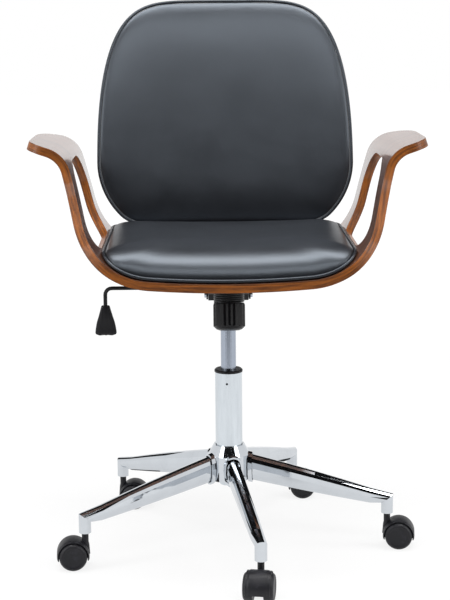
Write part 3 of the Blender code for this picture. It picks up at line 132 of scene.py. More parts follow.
class Colour:
    """A colour or vector socket of a shader."""

    def __init__(self, shader: "Shader", socket: bpy.types.NodeSocket) -> None:
        """Keep the shader and the socket."""
        self.shader = shader
        self.socket = socket

    def __mul__(self, other: Link) -> "Colour":
        """Multiply part by part with a vector."""
        node = self.shader.node("ShaderNodeVectorMath", {"operation": "MULTIPLY"}, {0: self, 1: other})
        return Colour(self.shader, node.outputs[0])

    def __add__(self, other: Link) -> "Colour":
        """Add a vector."""
        node = self.shader.node("ShaderNodeVectorMath", {"operation": "ADD"}, {0: self, 1: other})
        return Colour(self.shader, node.outputs[0])

    def mix(self, other: Link, factor: Link) -> "Colour":
        """Return a blend of this colour towards another.

        Args:
            other: The colour at a factor of 1.
            factor: The share of the other colour.

        Returns:
            The blended colour.
        """
        node = self.shader.node("ShaderNodeMix", {"data_type": "RGBA"}, {0: factor, 6: self, 7: other})
        return Colour(self.shader, node.outputs[2])


class Shader:
    """A Principled material and the nodes that feed it."""

    def __init__(self, name: str) -> None:
        """Make an empty Principled material."""
        self.material = bpy.data.materials.new(name)
        self.material.use_nodes = True
        self.tree = self.material.node_tree
        self.surface = self.tree.nodes["Principled BSDF"]

    def node(
        self, kind: str, settings: Optional[dict[str, Any]] = None, inputs: Optional[dict[Any, Link]] = None
    ) -> bpy.types.Node:
        """Add one node.

        Args:
            kind: The node's type.
            settings: Its settings, set first. A ramp's stops are given as (position, colour) pairs.
            inputs: Values or links of its sockets, by name or number.

        Returns:
            The node.
        """
        node = self.tree.nodes.new(kind)
        for key, setting in (settings or {}).items():
            if key == "stops":
                self._set_stops(node, setting)
            else:
                setattr(node, key, setting)
        for key, link in (inputs or {}).items():
            self.feed(node.inputs[key], link)
        return node

    def _set_stops(self, node: bpy.types.Node, stops: Sequence[tuple[float, Sequence[float]]]) -> None:
        """Set the stops of a colour ramp.

        Args:
            node: The ramp.
            stops: Pairs of position and colour.
        """
        elements = node.color_ramp.elements
        while len(elements) < len(stops):
            elements.new(0.5)
        for element, (position, colour) in zip(elements, stops):
            element.position = position
            element.color = (*colour, 1.0)

    def feed(self, socket: bpy.types.NodeSocket, link: Link) -> None:
        """Set a socket's value or link it.

        Args:
            socket: The input socket.
            link: A wrapped socket, a socket, a number or a colour.
        """
        if isinstance(link, (Value, Colour)):
            link = link.socket
        if isinstance(link, bpy.types.NodeSocket):
            self.tree.links.new(link, socket)
        elif socket.type == "RGBA":
            socket.default_value = (*link, 1.0)[:4]
        else:
            socket.default_value = link

    def set(self, **inputs: Link) -> None:
        """Feed the Principled shader, with underscores for the spaces of its socket names."""
        for key, link in inputs.items():
            self.feed(self.surface.inputs[key.replace("_", " ")], link)

    def place(self) -> Colour:
        """Return the object coordinates."""
        return Colour(self, self.node("ShaderNodeTexCoord").outputs["Object"])

    def attribute(self, name: str) -> Colour:
        """Return a vector that is stored on the mesh."""
        return Colour(self, self.node("ShaderNodeAttribute", {"attribute_name": name}).outputs["Vector"])

    def parts(self, vector: Colour) -> tuple[Value, Value, Value]:
        """Return the three parts of a vector."""
        node = self.node("ShaderNodeSeparateXYZ", None, {0: vector})
        return tuple(Value(self, socket) for socket in node.outputs)

    def noise(self, vector: Colour, scale: float, detail: float = 3.0, roughness: float = 0.5) -> Value:
        """Return a noise value.

        Args:
            vector: Where it is read.
            scale: Its scale.
            detail: Its number of octaves.
            roughness: How strong the small octaves are.

        Returns:
            A value about 0.5.
        """
        node = self.node(
            "ShaderNodeTexNoise", None,
            {"Vector": vector, "Scale": scale, "Detail": detail, "Roughness": roughness})
        return Value(self, node.outputs[0])

    def cells(self, vector: Colour, scale: float) -> Value:
        """Return the distance to the border of a cell pattern."""
        node = self.node(
            "ShaderNodeTexVoronoi", {"feature": "DISTANCE_TO_EDGE"}, {"Vector": vector, "Scale": scale})
        return Value(self, node.outputs[0])

    def ramp(self, value: Value, stops: Sequence[tuple[float, Sequence[float]]]) -> Colour:
        """Return a colour that follows a value through stops."""
        return Colour(self, self.node("ShaderNodeValToRGB", {"stops": stops}, {0: value}).outputs[0])

    def bump(self, height: Value, strength: float, distance: float) -> None:
        """Raise the surface by a height.

        Args:
            height: The height, from 0 to 1.
            strength: How much of it shows.
            distance: The height of 1, in metres.
        """
        node = self.node("ShaderNodeBump", None, {"Height": height, "Strength": strength, "Distance": distance})
        self.set(Normal=Colour(self, node.outputs[0]))

    def cover(self, share: Value, other: bpy.types.NodeSocket) -> None:
        """Lay another shader over the Principled one.

        Args:
            share: How much of the other shader shows.
            other: Its output.
        """
        blend = self.node("ShaderNodeMixShader", None, {0: share, 1: self.surface.outputs[0], 2: other})
        self.feed(self.tree.nodes["Material Output"].inputs["Surface"], blend.outputs[0])


@dataclass(frozen=True)
class Chrome:
    """Bright chrome with wipe marks and streaks in its base colour, which on the drawn tube are partly drawn marks
    and partly painted reflection.
    """

    light: tuple[float, float, float] = (0.60, 0.63, 0.665)
    dark: tuple[float, float, float] = (0.56, 0.59, 0.625)
    roughness: float = 0.05
    smear: float = 0.05
    streaks: tuple[float, float, float] = (30.0, 30.0, 30.0)

    def make(self, name: str) -> bpy.types.Material:
        """Return the material."""
        shader = Shader(name)
        place = shader.place()
        # The base colour moves between a light and a dark tone with this noise: wipe marks, and on the drawn tube
        # streaks that stand in for dark reflections (painted reflection).
        smears_and_painted_reflection = shader.noise(place * self.streaks, 1.0, 5.0, 0.62)
        shader.set(Base_Color=shader.ramp(smears_and_painted_reflection, ((0.35, self.light), (0.75, self.dark))), Metallic=1.0)
        shader.set(Roughness=self.roughness + smears_and_painted_reflection.step(0.45, 0.8) * self.smear)
        return shader.material


@dataclass(frozen=True)
class Steel:
    """Zinc plated or brushed steel, its marks running round or along it."""

    colour: tuple[float, float, float] = (0.42, 0.46, 0.52)
    roughness: float = 0.26
    marks: tuple[float, float, float] = (60.0, 60.0, 900.0)

    def make(self, name: str) -> bpy.types.Material:
        """Return the material."""
        shader = Shader(name)
        lines = shader.noise(shader.place() * self.marks, 1.0, 3.0, 0.6)
        shader.set(Base_Color=self.colour, Metallic=1.0, Roughness=self.roughness - 0.06 + lines * 0.12)
        shader.bump(lines, 0.12, 0.0001)
        return shader.material


@dataclass(frozen=True)
class BlackPaint:
    """Semi gloss black paint with the faint texture of a powder coat."""

    colour: tuple[float, float, float] = (0.008, 0.008, 0.009)
    roughness: float = 0.45
    shine: float = 0.22

    def make(self, name: str) -> bpy.types.Material:
        """Return the material."""
        shader = Shader(name)
        place = shader.place()
        peel = shader.noise(place, 900.0, 2.0, 0.5)
        dust = shader.noise(place, 35.0, 5.0, 0.6).step(0.5, 0.75)
        base = shader.ramp(dust, ((0.0, self.colour), (1.0, tuple(part * 1.7 + 0.002 for part in self.colour))))
        shader.set(Base_Color=base, Roughness=self.roughness + dust * 0.1, Specular_IOR_Level=self.shine)
        shader.bump(peel, 0.25, 0.0002)
        return shader.material


@dataclass(frozen=True)
class MouldedPlastic:
    """Black moulded plastic with a fine grained surface."""

    colour: tuple[float, float, float] = (0.009, 0.009, 0.011)
    roughness: float = 0.40
    grain: float = 1500.0
    shine: float = 0.25

    def make(self, name: str) -> bpy.types.Material:
        """Return the material."""
        shader = Shader(name)
        place = shader.place()
        pits = shader.noise(place, self.grain, 2.0, 0.6)
        wear = shader.noise(place, 60.0, 5.0, 0.65).step(0.52, 0.72)
        base = shader.ramp(wear, ((0.0, self.colour), (1.0, tuple(part * 1.9 for part in self.colour))))
        shader.set(Base_Color=base, Roughness=self.roughness + wear * 0.14, Specular_IOR_Level=self.shine)
        shader.bump(pits, 0.3, 0.00012)
        return shader.material


@dataclass(frozen=True)
class Leather:
    """Smooth black leather: small pebbles, pores and soft creases."""

    colour: tuple[float, float, float] = (0.0085, 0.009, 0.011)
    light: tuple[float, float, float] = (0.013, 0.0138, 0.0168)
    roughness: float = 0.35
    pebble: float = 850.0
    shine: float = 0.80

    def make(self, name: str) -> bpy.types.Material:
        """Return the material."""
        shader = Shader(name)
        place = shader.place()
        bent = place + (Colour(shader, shader.node("ShaderNodeTexNoise", None, {
            "Vector": place, "Scale": 300.0, "Detail": 2.0}).outputs["Color"]) * (0.0012, 0.0012, 0.0012))
        pebbles = shader.cells(bent, self.pebble).step(0.0, 0.28)
        pores = shader.noise(place, 2600.0, 2.0, 0.6)
        clouds = shader.noise(place, 14.0, 4.0, 0.55)
        creases = shader.noise(place * (1.0, 1.0, 2.2), 38.0, 3.0, 0.6)
        base = shader.ramp(clouds, ((0.3, self.colour), (0.75, self.light)))
        # The blue Specular Tint paints the bluish colour of the studio light into the leather's reflections (painted
        # light colour).
        shader.set(Base_Color=base, Specular_IOR_Level=self.shine, Specular_Tint=(0.78, 0.88, 1.0))
        shader.set(Roughness=self.roughness + (clouds - 0.5) * 0.10 - pebbles * 0.05)
        shader.bump(pebbles * 0.7 + pores * 0.2 + creases * 1.1, 0.32, 0.00016)
        return shader.material


@dataclass(frozen=True)
class Plywood:
    """Walnut faced plywood under clear lacquer, with its stained orange cut edge."""

    face_dark: tuple[float, float, float] = (0.050, 0.021, 0.015)
    face_light: tuple[float, float, float] = (0.150, 0.064, 0.036)
    edge_dark: tuple[float, float, float] = (0.060, 0.018, 0.005)
    edge_light: tuple[float, float, float] = (0.330, 0.098, 0.012)
    layers: float = 9.0
    roughness: float = 0.26
    lacquer: float = 0.07

    def make(self, name: str) -> bpy.types.Material:
        """Return the material."""
        shader = Shader(name)
        along = shader.attribute("grain")
        _, _, depth = shader.parts(along)
        cut = 1 - (depth - 0.5).distance(0.0).step(0.455, 0.495)
        drift = shader.noise(along * (2.0, 9.0, 0.2), 1.0, 2.0, 0.5)
        figure = shader.noise(along * (7.0, 130.0, 0.5), 1.0, 5.0, 0.62)
        pores = shader.noise(along * (40.0, 1500.0, 1.0), 1.0, 3.0, 0.6)
        tone = (figure * 0.75 + drift * 0.5 - 0.12).step(0.25, 0.78)
        face = shader.ramp(tone, ((0.0, self.face_dark), (0.55, self.face_light), (1.0, self.face_dark)))
        face = face.mix(self.face_dark, pores.step(0.62, 0.75) * 0.6)
        streaks = shader.noise(along * (16.0, 16.0, 4.5), 1.0, 6.0, 0.68)
        layer = (depth * self.layers).fraction().distance(0.5)
        edge_tone = streaks.step(0.33, 0.68) * 0.85 + layer * 0.3
        edge = shader.ramp(edge_tone, ((0.0, self.edge_dark), (1.0, self.edge_light)))
        glue = layer.step(0.455, 0.49) * 0.35
        edge = edge.mix(self.edge_dark, glue)
        shader.set(Base_Color=face.mix(edge, cut))
        shader.set(Roughness=self.roughness + pores * 0.08 + cut * 0.16, Coat_Roughness=self.lacquer)
        shader.set(Coat_Weight=0.9 - cut * 0.72, Specular_IOR_Level=0.3)
        shader.bump(figure * 0.5 + pores * 0.5, 0.10, 0.0001)
        return shader.material


class Finishes:
    """Every finish of the chair, each made once."""

    def __init__(self) -> None:
        """Make the materials."""
        self.chrome = Chrome().make("chrome_finish")
        # The column tube's vertical base colour streaks are partly drawn marks and partly painted reflection of dark
        # surroundings.
        self.tube = Chrome(
            light=(0.65, 0.695, 0.735), dark=(0.55, 0.592, 0.63), roughness=0.13, smear=0.10,
            streaks=(70.0, 70.0, 9.0)).make("drawn_tube_painted_reflection_finish")
        self.zinc = Steel().make("zinc_finish")
        self.turned = Steel(colour=(0.36, 0.40, 0.47), roughness=0.24, marks=(40.0, 40.0, 1400.0)).make(
            "gas_cylinder_finish")
        self.paint = BlackPaint().make("black_paint")
        self.spring = BlackPaint(colour=(0.010, 0.010, 0.011), roughness=0.32, shine=0.35).make("spring_paint")
        self.plastic = MouldedPlastic().make("black_plastic")
        self.knob = MouldedPlastic(colour=(0.005, 0.005, 0.006), roughness=0.33, shine=0.16).make("knob_plastic")
        self.wheel = MouldedPlastic(colour=(0.011, 0.011, 0.014), roughness=0.42, grain=1100.0, shine=0.3).make(
            "caster_plastic")
        self.leather = Leather().make("black_leather")
        self.piping = Leather(roughness=0.30, pebble=1300.0, shine=0.6).make("piping_leather")
        self.plywood = Plywood().make("plywood")


def ease(value: float, start: float, end: float) -> float:
    """Return a smooth step from 0 at the start to 1 at the end.

    Args:
        value: The value.
        start: Where the step starts.
        end: Where the step ends.

    Returns:
        The share, from 0 to 1.
    """
    share = min(max((value - start) / (end - start), 0.0), 1.0)
    return (1 - math.cos(math.pi * share)) / 2


def corner_inset(distance: float, length: float, depth: Optional[float] = None) -> float:
    """Return how far a rounded corner draws an edge in.

    Args:
        distance: The distance from the end.
        length: How far the corner reaches from the end.
        depth: How far it reaches from the edge; the same as its length if it isn't given.

    Returns:
        The inset.
    """
    if distance >= length:
        return 0.0
    return (depth or length) * (1 - math.sqrt(1 - (1 - distance / length) ** 2))


def end_steps(start: float, radius: float, direction: int, count: int = 10) -> list[float]:
    """Return positions that follow a rounded corner evenly from its end.

    Args:
        start: The end.
        radius: The corner's radius.
        direction: 1 or -1.
        count: The number of steps.

    Returns:
        The positions.
    """
    return [start + direction * radius * (1 - math.cos(math.pi / 2 * step / count)) for step in range(count + 1)]


def spaced(start: float, end: float, count: int) -> list[float]:
    """Return evenly spaced positions from a start up to, but without, an end.

    Args:
        start: The first position.
        end: The end.
        count: The number of positions.

    Returns:
        The positions.
    """
    return [start + (end - start) * step / count for step in range(count)]


def turns(count: int) -> list[float]:
    """Return the angles of a circle's evenly spaced points.

    Args:
        count: The number of points.

    Returns:
        The angles.
    """
    return [math.tau * step / count for step in range(count)]


def rounded_outline(corners: Sequence[tuple[float, float, float]], steps: int) -> list[Vector]:
    """Return a counter-clockwise outline with rounded corners.

    Args:
        corners: The corners, each x, y and radius.
        steps: The number of steps of each arc.

    Returns:
        The outline.
    """
    points: list[Vector] = []
    for index, (x, y, radius) in enumerate(corners):
        corner = Vector((x, y))
        before = (Vector(corners[index - 1][:2]) - corner).normalized()
        after = (Vector(corners[(index + 1) % len(corners)][:2]) - corner).normalized()
        half = before.angle(after) / 2
        centre = corner + (before + after).normalized() * (radius / math.sin(half))
        first = corner + before * (radius / math.tan(half)) - centre
        for step in range(steps + 1):
            points.append(centre + Matrix.Rotation((math.pi - 2 * half) * step / steps, 2) @ first)
    return points


def resample(points: Sequence[Vector], count: int, closed: bool = True) -> list[Vector]:
    """Return a line's points at equal distances.

    Args:
        points: The line.
        count: The number of points wanted.
        closed: Whether the line closes on itself.

    Returns:
        The new points.
    """
    line = [Vector(point) for point in points]
    if closed:
        line.append(line[0])
    lengths = [0.0]
    for first, second in zip(line, line[1:]):
        lengths.append(lengths[-1] + (second - first).length)
    steps = count if closed else count - 1
    picked = []
    index = 0
    for step in range(count):
        wanted = lengths[-1] * step / steps
        while index < len(line) - 2 and lengths[index + 1] < wanted:
            index += 1
        span = lengths[index + 1] - lengths[index]
        picked.append(line[index].lerp(line[index + 1], (wanted - lengths[index]) / span))
    return picked


def inset(points: Sequence[Vector], distance: float) -> list[Vector]:
    """Return a counter-clockwise closed outline moved inwards.

    Args:
        points: The outline.
        distance: How far it moves.

    Returns:
        The new outline.
    """
    result = []
    for index, point in enumerate(points):
        along = (points[(index + 1) % len(points)] - points[index - 1]).normalized()
        result.append(point + Vector((-along.y, along.x)) * distance)
    return result


class BentPath:
    """A bent line of arcs and straight runs, with an offset on its left side."""

    def __init__(self, start: tuple[float, float]) -> None:
        """Start at a point, heading along the first axis."""
        self.stations = [0.0]
        self.points = [Vector(start)]
        self.headings = [0.0]

    def run(self, length: float) -> None:
        """Go straight on."""
        heading = self.headings[-1]
        self.stations.append(self.stations[-1] + length)
        self.points.append(self.points[-1] + Vector((math.cos(heading), math.sin(heading))) * length)
        self.headings.append(heading)

    def bend(self, radius: float, heading: float, steps: int) -> None:
        """Turn to a new heading along an arc.

        Args:
            radius: The arc's radius.
            heading: The new heading.
            steps: The number of steps.
        """
        first = self.headings[-1]
        side = math.copysign(1.0, heading - first)
        centre = self.points[-1] + Vector((-math.sin(first), math.cos(first))) * radius * side
        for step in range(1, steps + 1):
            angle = first + (heading - first) * step / steps
            self.stations.append(self.stations[-1] + radius * abs(heading - first) / steps)
            self.points.append(centre - Vector((-math.sin(angle), math.cos(angle))) * radius * side)
            self.headings.append(angle)

    def at(self, position: float, height: float) -> Vector:
        """Return the point at a position along the path and a height off it.

        Args:
            position: The distance along the path.
            height: The distance to its left.

        Returns:
            The point.
        """
        last = len(self.stations) - 2
        index = next((i for i in range(last) if position <= self.stations[i + 1]), last)
        share = (position - self.stations[index]) / (self.stations[index + 1] - self.stations[index])
        ends = [
            self.points[i] + Vector((-math.sin(self.headings[i]), math.cos(self.headings[i]))) * height
            for i in (index, index + 1)]
        return ends[0].lerp(ends[1], share)


def add_object(name: str, data: bpy.types.ID) -> bpy.types.Object:
    """Put a new object into the scene.

    Args:
        name: Its name.
        data: Its mesh, curve, light or camera.

    Returns:
        The object.
    """
    item = bpy.data.objects.new(name, data)
    bpy.context.collection.objects.link(item)
    return item


def finish_piece(
    data: Union[bpy.types.Mesh, bpy.types.Curve], name: str, material: bpy.types.Material, body: Optional[str],
    nodes: Iterable[str], sharp: float = 35.0
) -> bpy.types.Object:
    """Make a piece of a mesh or curve, give it its body and finish, and hide the CAD nodes that it stands for.

    Args:
        data: The mesh or curve.
        name: The piece's name.
        material: Its material.
        body: The body it rides on, or None to leave it on no body.
        nodes: The CAD nodes that it stands for.
        sharp: The angle from which a mesh's edge is sharp, in degrees.

    Returns:
        The piece.
    """
    if isinstance(data, bpy.types.Mesh):
        data.shade_smooth()
        data.set_sharp_from_angle(angle=math.radians(sharp))
    data.materials.append(material)
    piece = add_object(name, data)
    if body:
        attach(piece, body)
    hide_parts(*nodes)
    return piece


def to_mesh(shape: bmesh.types.BMesh, name: str) -> bpy.types.Mesh:
    """Turn a shape into a mesh.

    Args:
        shape: The shape, which is freed.
        name: The mesh's name.

    Returns:
        The mesh.
    """
    mesh = bpy.data.meshes.new(name)
    shape.to_mesh(mesh)
    shape.free()
    return mesh


def skin(shape: bmesh.types.BMesh, rings: Sequence[Sequence[Vector]]) -> list[list[bmesh.types.BMVert]]:
    """Join closed rings of equal counts by faces.

    Args:
        shape: The shape that takes them.
        rings: The rings, from one end to the other.

    Returns:
        The rings' vertices.
    """
    rows = [[shape.verts.new(point) for point in ring] for ring in rings]
    for lower, upper in zip(rows, rows[1:]):
        for index, vert in enumerate(lower):
            follower = (index + 1) % len(lower)
            shape.faces.new((vert, lower[follower], upper[follower], upper[index]))
    return rows


def loft(name: str, rings: Sequence[Sequence[Vector]]) -> bpy.types.Mesh:
    """Join rings of equal counts into one closed skin.

    Args:
        name: The mesh's name.
        rings: The rings, from one end to the other.

    Returns:
        The mesh.
    """
    shape = bmesh.new()
    rows = skin(shape, rings)
    for row in (rows[0], rows[-1]):
        middle = shape.verts.new(sum((vert.co for vert in row), Vector()) / len(row))
        for index, vert in enumerate(row):
            shape.faces.new((vert, row[(index + 1) % len(row)], middle))
    bmesh.ops.recalc_face_normals(shape, faces=shape.faces)
    return to_mesh(shape, name)


def bent_sheet(
    name: str, outline: Sequence[Sequence[float]], openings: Sequence[Sequence[Sequence[float]]],
    folds: tuple[list[float], list[float]], surface: Callable[[float, float, float], Vector], thickness: float
) -> bpy.types.Mesh:
    """Make a bent sheet of wood with its grain stored on it.

    Args:
        name: The mesh's name.
        outline: The flat outline.
        openings: The flat outlines of its openings.
        folds: Where the flat blank is creased, along each of its axes.
        surface: Gives the place of a flat point at a height.
        thickness: The sheet's thickness.

    Returns:
        The mesh.
    """
    flat = bmesh.new()
    edges = []
    for loop in (outline, *openings):
        verts = [flat.verts.new((point[0], point[1], 0.0)) for point in loop]
        edges += [flat.edges.new(pair) for pair in zip(verts, verts[1:] + verts[:1])]
    bmesh.ops.triangle_fill(flat, edges=edges, use_beauty=True, normal=(0, 0, 1))
    for axis, positions in enumerate(folds):
        for position in positions:
            everything = flat.verts[:] + flat.edges[:] + flat.faces[:]
            bmesh.ops.bisect_plane(
                flat, geom=everything, dist=1e-7, plane_co=(position, position, 0), plane_no=(1 - axis, axis, 0))
    spare = [edge for edge in flat.edges if len(edge.link_faces) == 2 and not lies_on_fold(edge, folds)]
    bmesh.ops.dissolve_edges(flat, edges=spare, use_verts=False)
    bmesh.ops.triangulate(flat, faces=flat.faces)
    flat.verts.index_update()
    solid = bmesh.new()
    grain = solid.verts.layers.float_vector.new("grain")
    layers = []
    for depth in (0.0, 1.0):
        row = []
        for vert in flat.verts:
            corner = solid.verts.new(surface(vert.co.x, vert.co.y, depth * thickness))
            corner[grain] = Vector((vert.co.x, vert.co.y, depth))
            row.append(corner)
        layers.append(row)
    for face in flat.faces:
        corners = [vert.index for vert in face.verts]
        solid.faces.new([layers[1][i] for i in corners])
        solid.faces.new([layers[0][i] for i in reversed(corners)])
    for edge in flat.edges:
        if len(edge.link_faces) == 1:
            first, second = (vert.index for vert in edge.verts)
            solid.faces.new((layers[0][first], layers[0][second], layers[1][second], layers[1][first]))
    flat.free()
    bmesh.ops.recalc_face_normals(solid, faces=solid.faces)
    return to_mesh(solid, name)


def lies_on_fold(edge: bmesh.types.BMEdge, folds: tuple[list[float], list[float]]) -> bool:
    """Tell whether an edge of a flat blank lies along one of its folds.

    Args:
        edge: The edge.
        folds: Where the blank is creased, along each of its axes.

    Returns:
        Whether it does.
    """
    first, second = (vert.co for vert in edge.verts)
    return any(
        abs(first[axis] - position) < 1e-6 and abs(second[axis] - position) < 1e-6
        for axis, positions in enumerate(folds) for position in positions)


def round_edges(piece: bpy.types.Object, width: float) -> None:
    """Round the sharp edges of a sheet.

    Args:
        piece: The piece.
        width: The width of the rounding.
    """
    bevel = piece.modifiers.new("rounding", "BEVEL")
    bevel.width = width
    bevel.segments = 3
    bevel.limit_method = "ANGLE"
    bevel.angle_limit = math.radians(50)
    bevel.harden_normals = False


@dataclass
class PlywoodBand:
    """The bent band that forms the seat's floor, the arms and the armrests."""

    thickness: float = 0.015
    underside: float = 0.5134
    floor_radius: float = 1.736
    floor_half: float = 0.138
    lower_bend: float = 0.1425
    wall_angle: float = 74.9
    wall_length: float = 0.0845
    upper_bend: float = 0.0417
    armrest_angle: float = 18.3
    armrest_run: float = 0.0364
    front: float = -0.235
    rear: float = 0.145
    setback: float = 0.110
    sweep: tuple[float, float] = (0.200, 0.420)
    spread: float = 0.042
    spread_run: tuple[float, float] = (0.180, 0.360)
    front_corner: float = 0.030
    rear_corner: tuple[float, float] = (0.095, 0.180)
    window_run: tuple[float, float] = (0.245, 0.405)
    front_strip: float = 0.061
    rear_strip: float = 0.059
    window_foot: float = 0.045
    window_front_top: float = 0.035
    window_rear_top: tuple[float, float] = (0.060, 0.080)
    path: BentPath = field(init=False)

    def __post_init__(self) -> None:
        """Bend the band's path."""
        self.path = BentPath((0.0, self.underside))
        self.path.bend(self.floor_radius, self.floor_half / self.floor_radius, 8)
        self.path.bend(self.lower_bend, math.radians(self.wall_angle), 26)
        self.path.run(self.wall_length)
        self.path.bend(self.upper_bend, math.radians(self.armrest_angle), 18)
        self.path.run(self.armrest_run)

    def surface(self, s: float, y: float, height: float) -> Vector:
        """Return a point of the band.

        Args:
            s: The distance from the middle, along the underside.
            y: The place from front to rear.
            height: The height over the underside.

        Returns:
            The point.
        """
        point = self.path.at(abs(s), height)
        return Vector((math.copysign(point.x, s), y, point.y))

    def front_edge(self, s: float) -> float:
        """Return the front edge, which sweeps back up the arm."""
        return self.front + self.setback * ease(s, *self.sweep)

    def rear_edge(self, s: float) -> float:
        """Return the rear edge, which spreads towards the armrest."""
        return self.rear + self.spread * ease(s, *self.spread_run)

    def outline(self) -> list[tuple[float, float]]:
        """Return the flat outline of both halves."""
        tip = self.path.stations[-1]
        places = spaced(self.sweep[0], tip - self.front_corner, 22)
        places += end_steps(tip, self.front_corner, -1, 16)[::-1]
        front = [(s, self.front_edge(s) + corner_inset(tip - s, self.front_corner)) for s in places]
        length, depth = self.rear_corner
        places = spaced(self.spread_run[0], tip - length, 14) + end_steps(tip, length, -1, 28)[::-1]
        rear = [(s, self.rear_edge(s) - corner_inset(tip - s, length, depth)) for s in places]
        half = front + rear[::-1]
        return half + [(-s, y) for s, y in reversed(half)]

    def window(self, arm: Arm) -> list[tuple[float, float]]:
        """Return the flat outline of one arm's opening.

        Args:
            arm: The arm.

        Returns:
            The outline.
        """
        start, end = self.window_run
        last = end_steps(end, self.window_rear_top[0], -1, 20)[::-1]
        places = end_steps(start, self.window_foot, 1, 12)[:-1] + spaced(start + self.window_foot, last[0], 8) + last
        front = []
        rear = []
        for s in places:
            foot = corner_inset(s - start, self.window_foot)
            front_top = corner_inset(end - s, self.window_front_top)
            rear_top = corner_inset(end - s, *self.window_rear_top)
            front.append((arm.value * s, self.front_edge(s) + self.front_strip + foot + front_top))
            rear.append((arm.value * s, self.rear_edge(s) - self.rear_strip - foot - rear_top))
        return front + rear[::-1]

    def build(self, finishes: Finishes) -> None:
        """Build the band over its CAD node."""
        stations = self.path.stations[1:-1]
        folds = ([-s for s in reversed(stations)] + [0.0] + stations, [])
        openings = [self.window(arm) for arm in Arm]
        mesh = bent_sheet("arm_band", self.outline(), openings, folds, self.surface, self.thickness)
        piece = finish_piece(mesh, "arm_band", finishes.plywood, "seat", ["arm_shell"])
        round_edges(piece, 0.0013)
        log.info("arm band built")


@dataclass
class BackForm:
    """The outline and bow that the back's shell and cushion share."""

    recline: float = math.radians(14.0)
    face_y: float = 0.216
    face_z: float = 0.575
    bow_radius: float = 0.9
    half_width: float = 0.2441
    widest: float = 0.1205
    upper: float = 0.3137
    lower: float = 0.1618
    upper_powers: tuple[float, float] = (2.307, 0.1906)
    lower_powers: tuple[float, float] = (1.884, 0.3505)
    edge: float = 0.036

    def lower_width(self, v: float) -> float:
        """Return half of the width at a height below the widest place.

        Args:
            v: The place up the back.

        Returns:
            The half width.
        """
        share = min((self.widest - v) / self.lower, 1.0)
        return self.half_width * (1 - share ** self.lower_powers[0]) ** self.lower_powers[1]

    def side(self, bottom: float, rounding: float) -> list[Vector]:
        """Return the right half of the outline.

        Args:
            bottom: The height of its lower edge.
            rounding: The radius of its lower corner.

        Returns:
            The points, from the lower edge to the top's middle.
        """
        side = []
        for step in range(60):
            v = bottom + (self.widest - bottom) * step / 60
            side.append((self.lower_width(v) - corner_inset(v - bottom, rounding), v))
        for step in range(161):
            angle = math.pi / 2 * step / 160
            share = math.sin(angle) ** (2 / self.upper_powers[0])
            width = self.half_width * max(math.cos(angle), 0.0) ** (2 * self.upper_powers[1])
            side.append((width, self.widest + self.upper * share))
        side[-1] = (0.0, side[-1][1])
        drop = math.tan(self.recline)
        return [Vector((x, v - (self.edge + x ** 2 / (2 * self.bow_radius)) * drop)) for x, v in side]

    def point(self, x: float, v: float, height: float) -> Vector:
        """Return a point in front of the shell.

        Args:
            x: The place across.
            v: The place up the back.
            height: The distance in front of the shell.

        Returns:
            The point.
        """
        lift = height + x ** 2 / (2 * self.bow_radius)
        return Vector((
            x,
            self.face_y + v * math.sin(self.recline) - lift * math.cos(self.recline),
            self.face_z + v * math.cos(self.recline) + lift * math.sin(self.recline)))


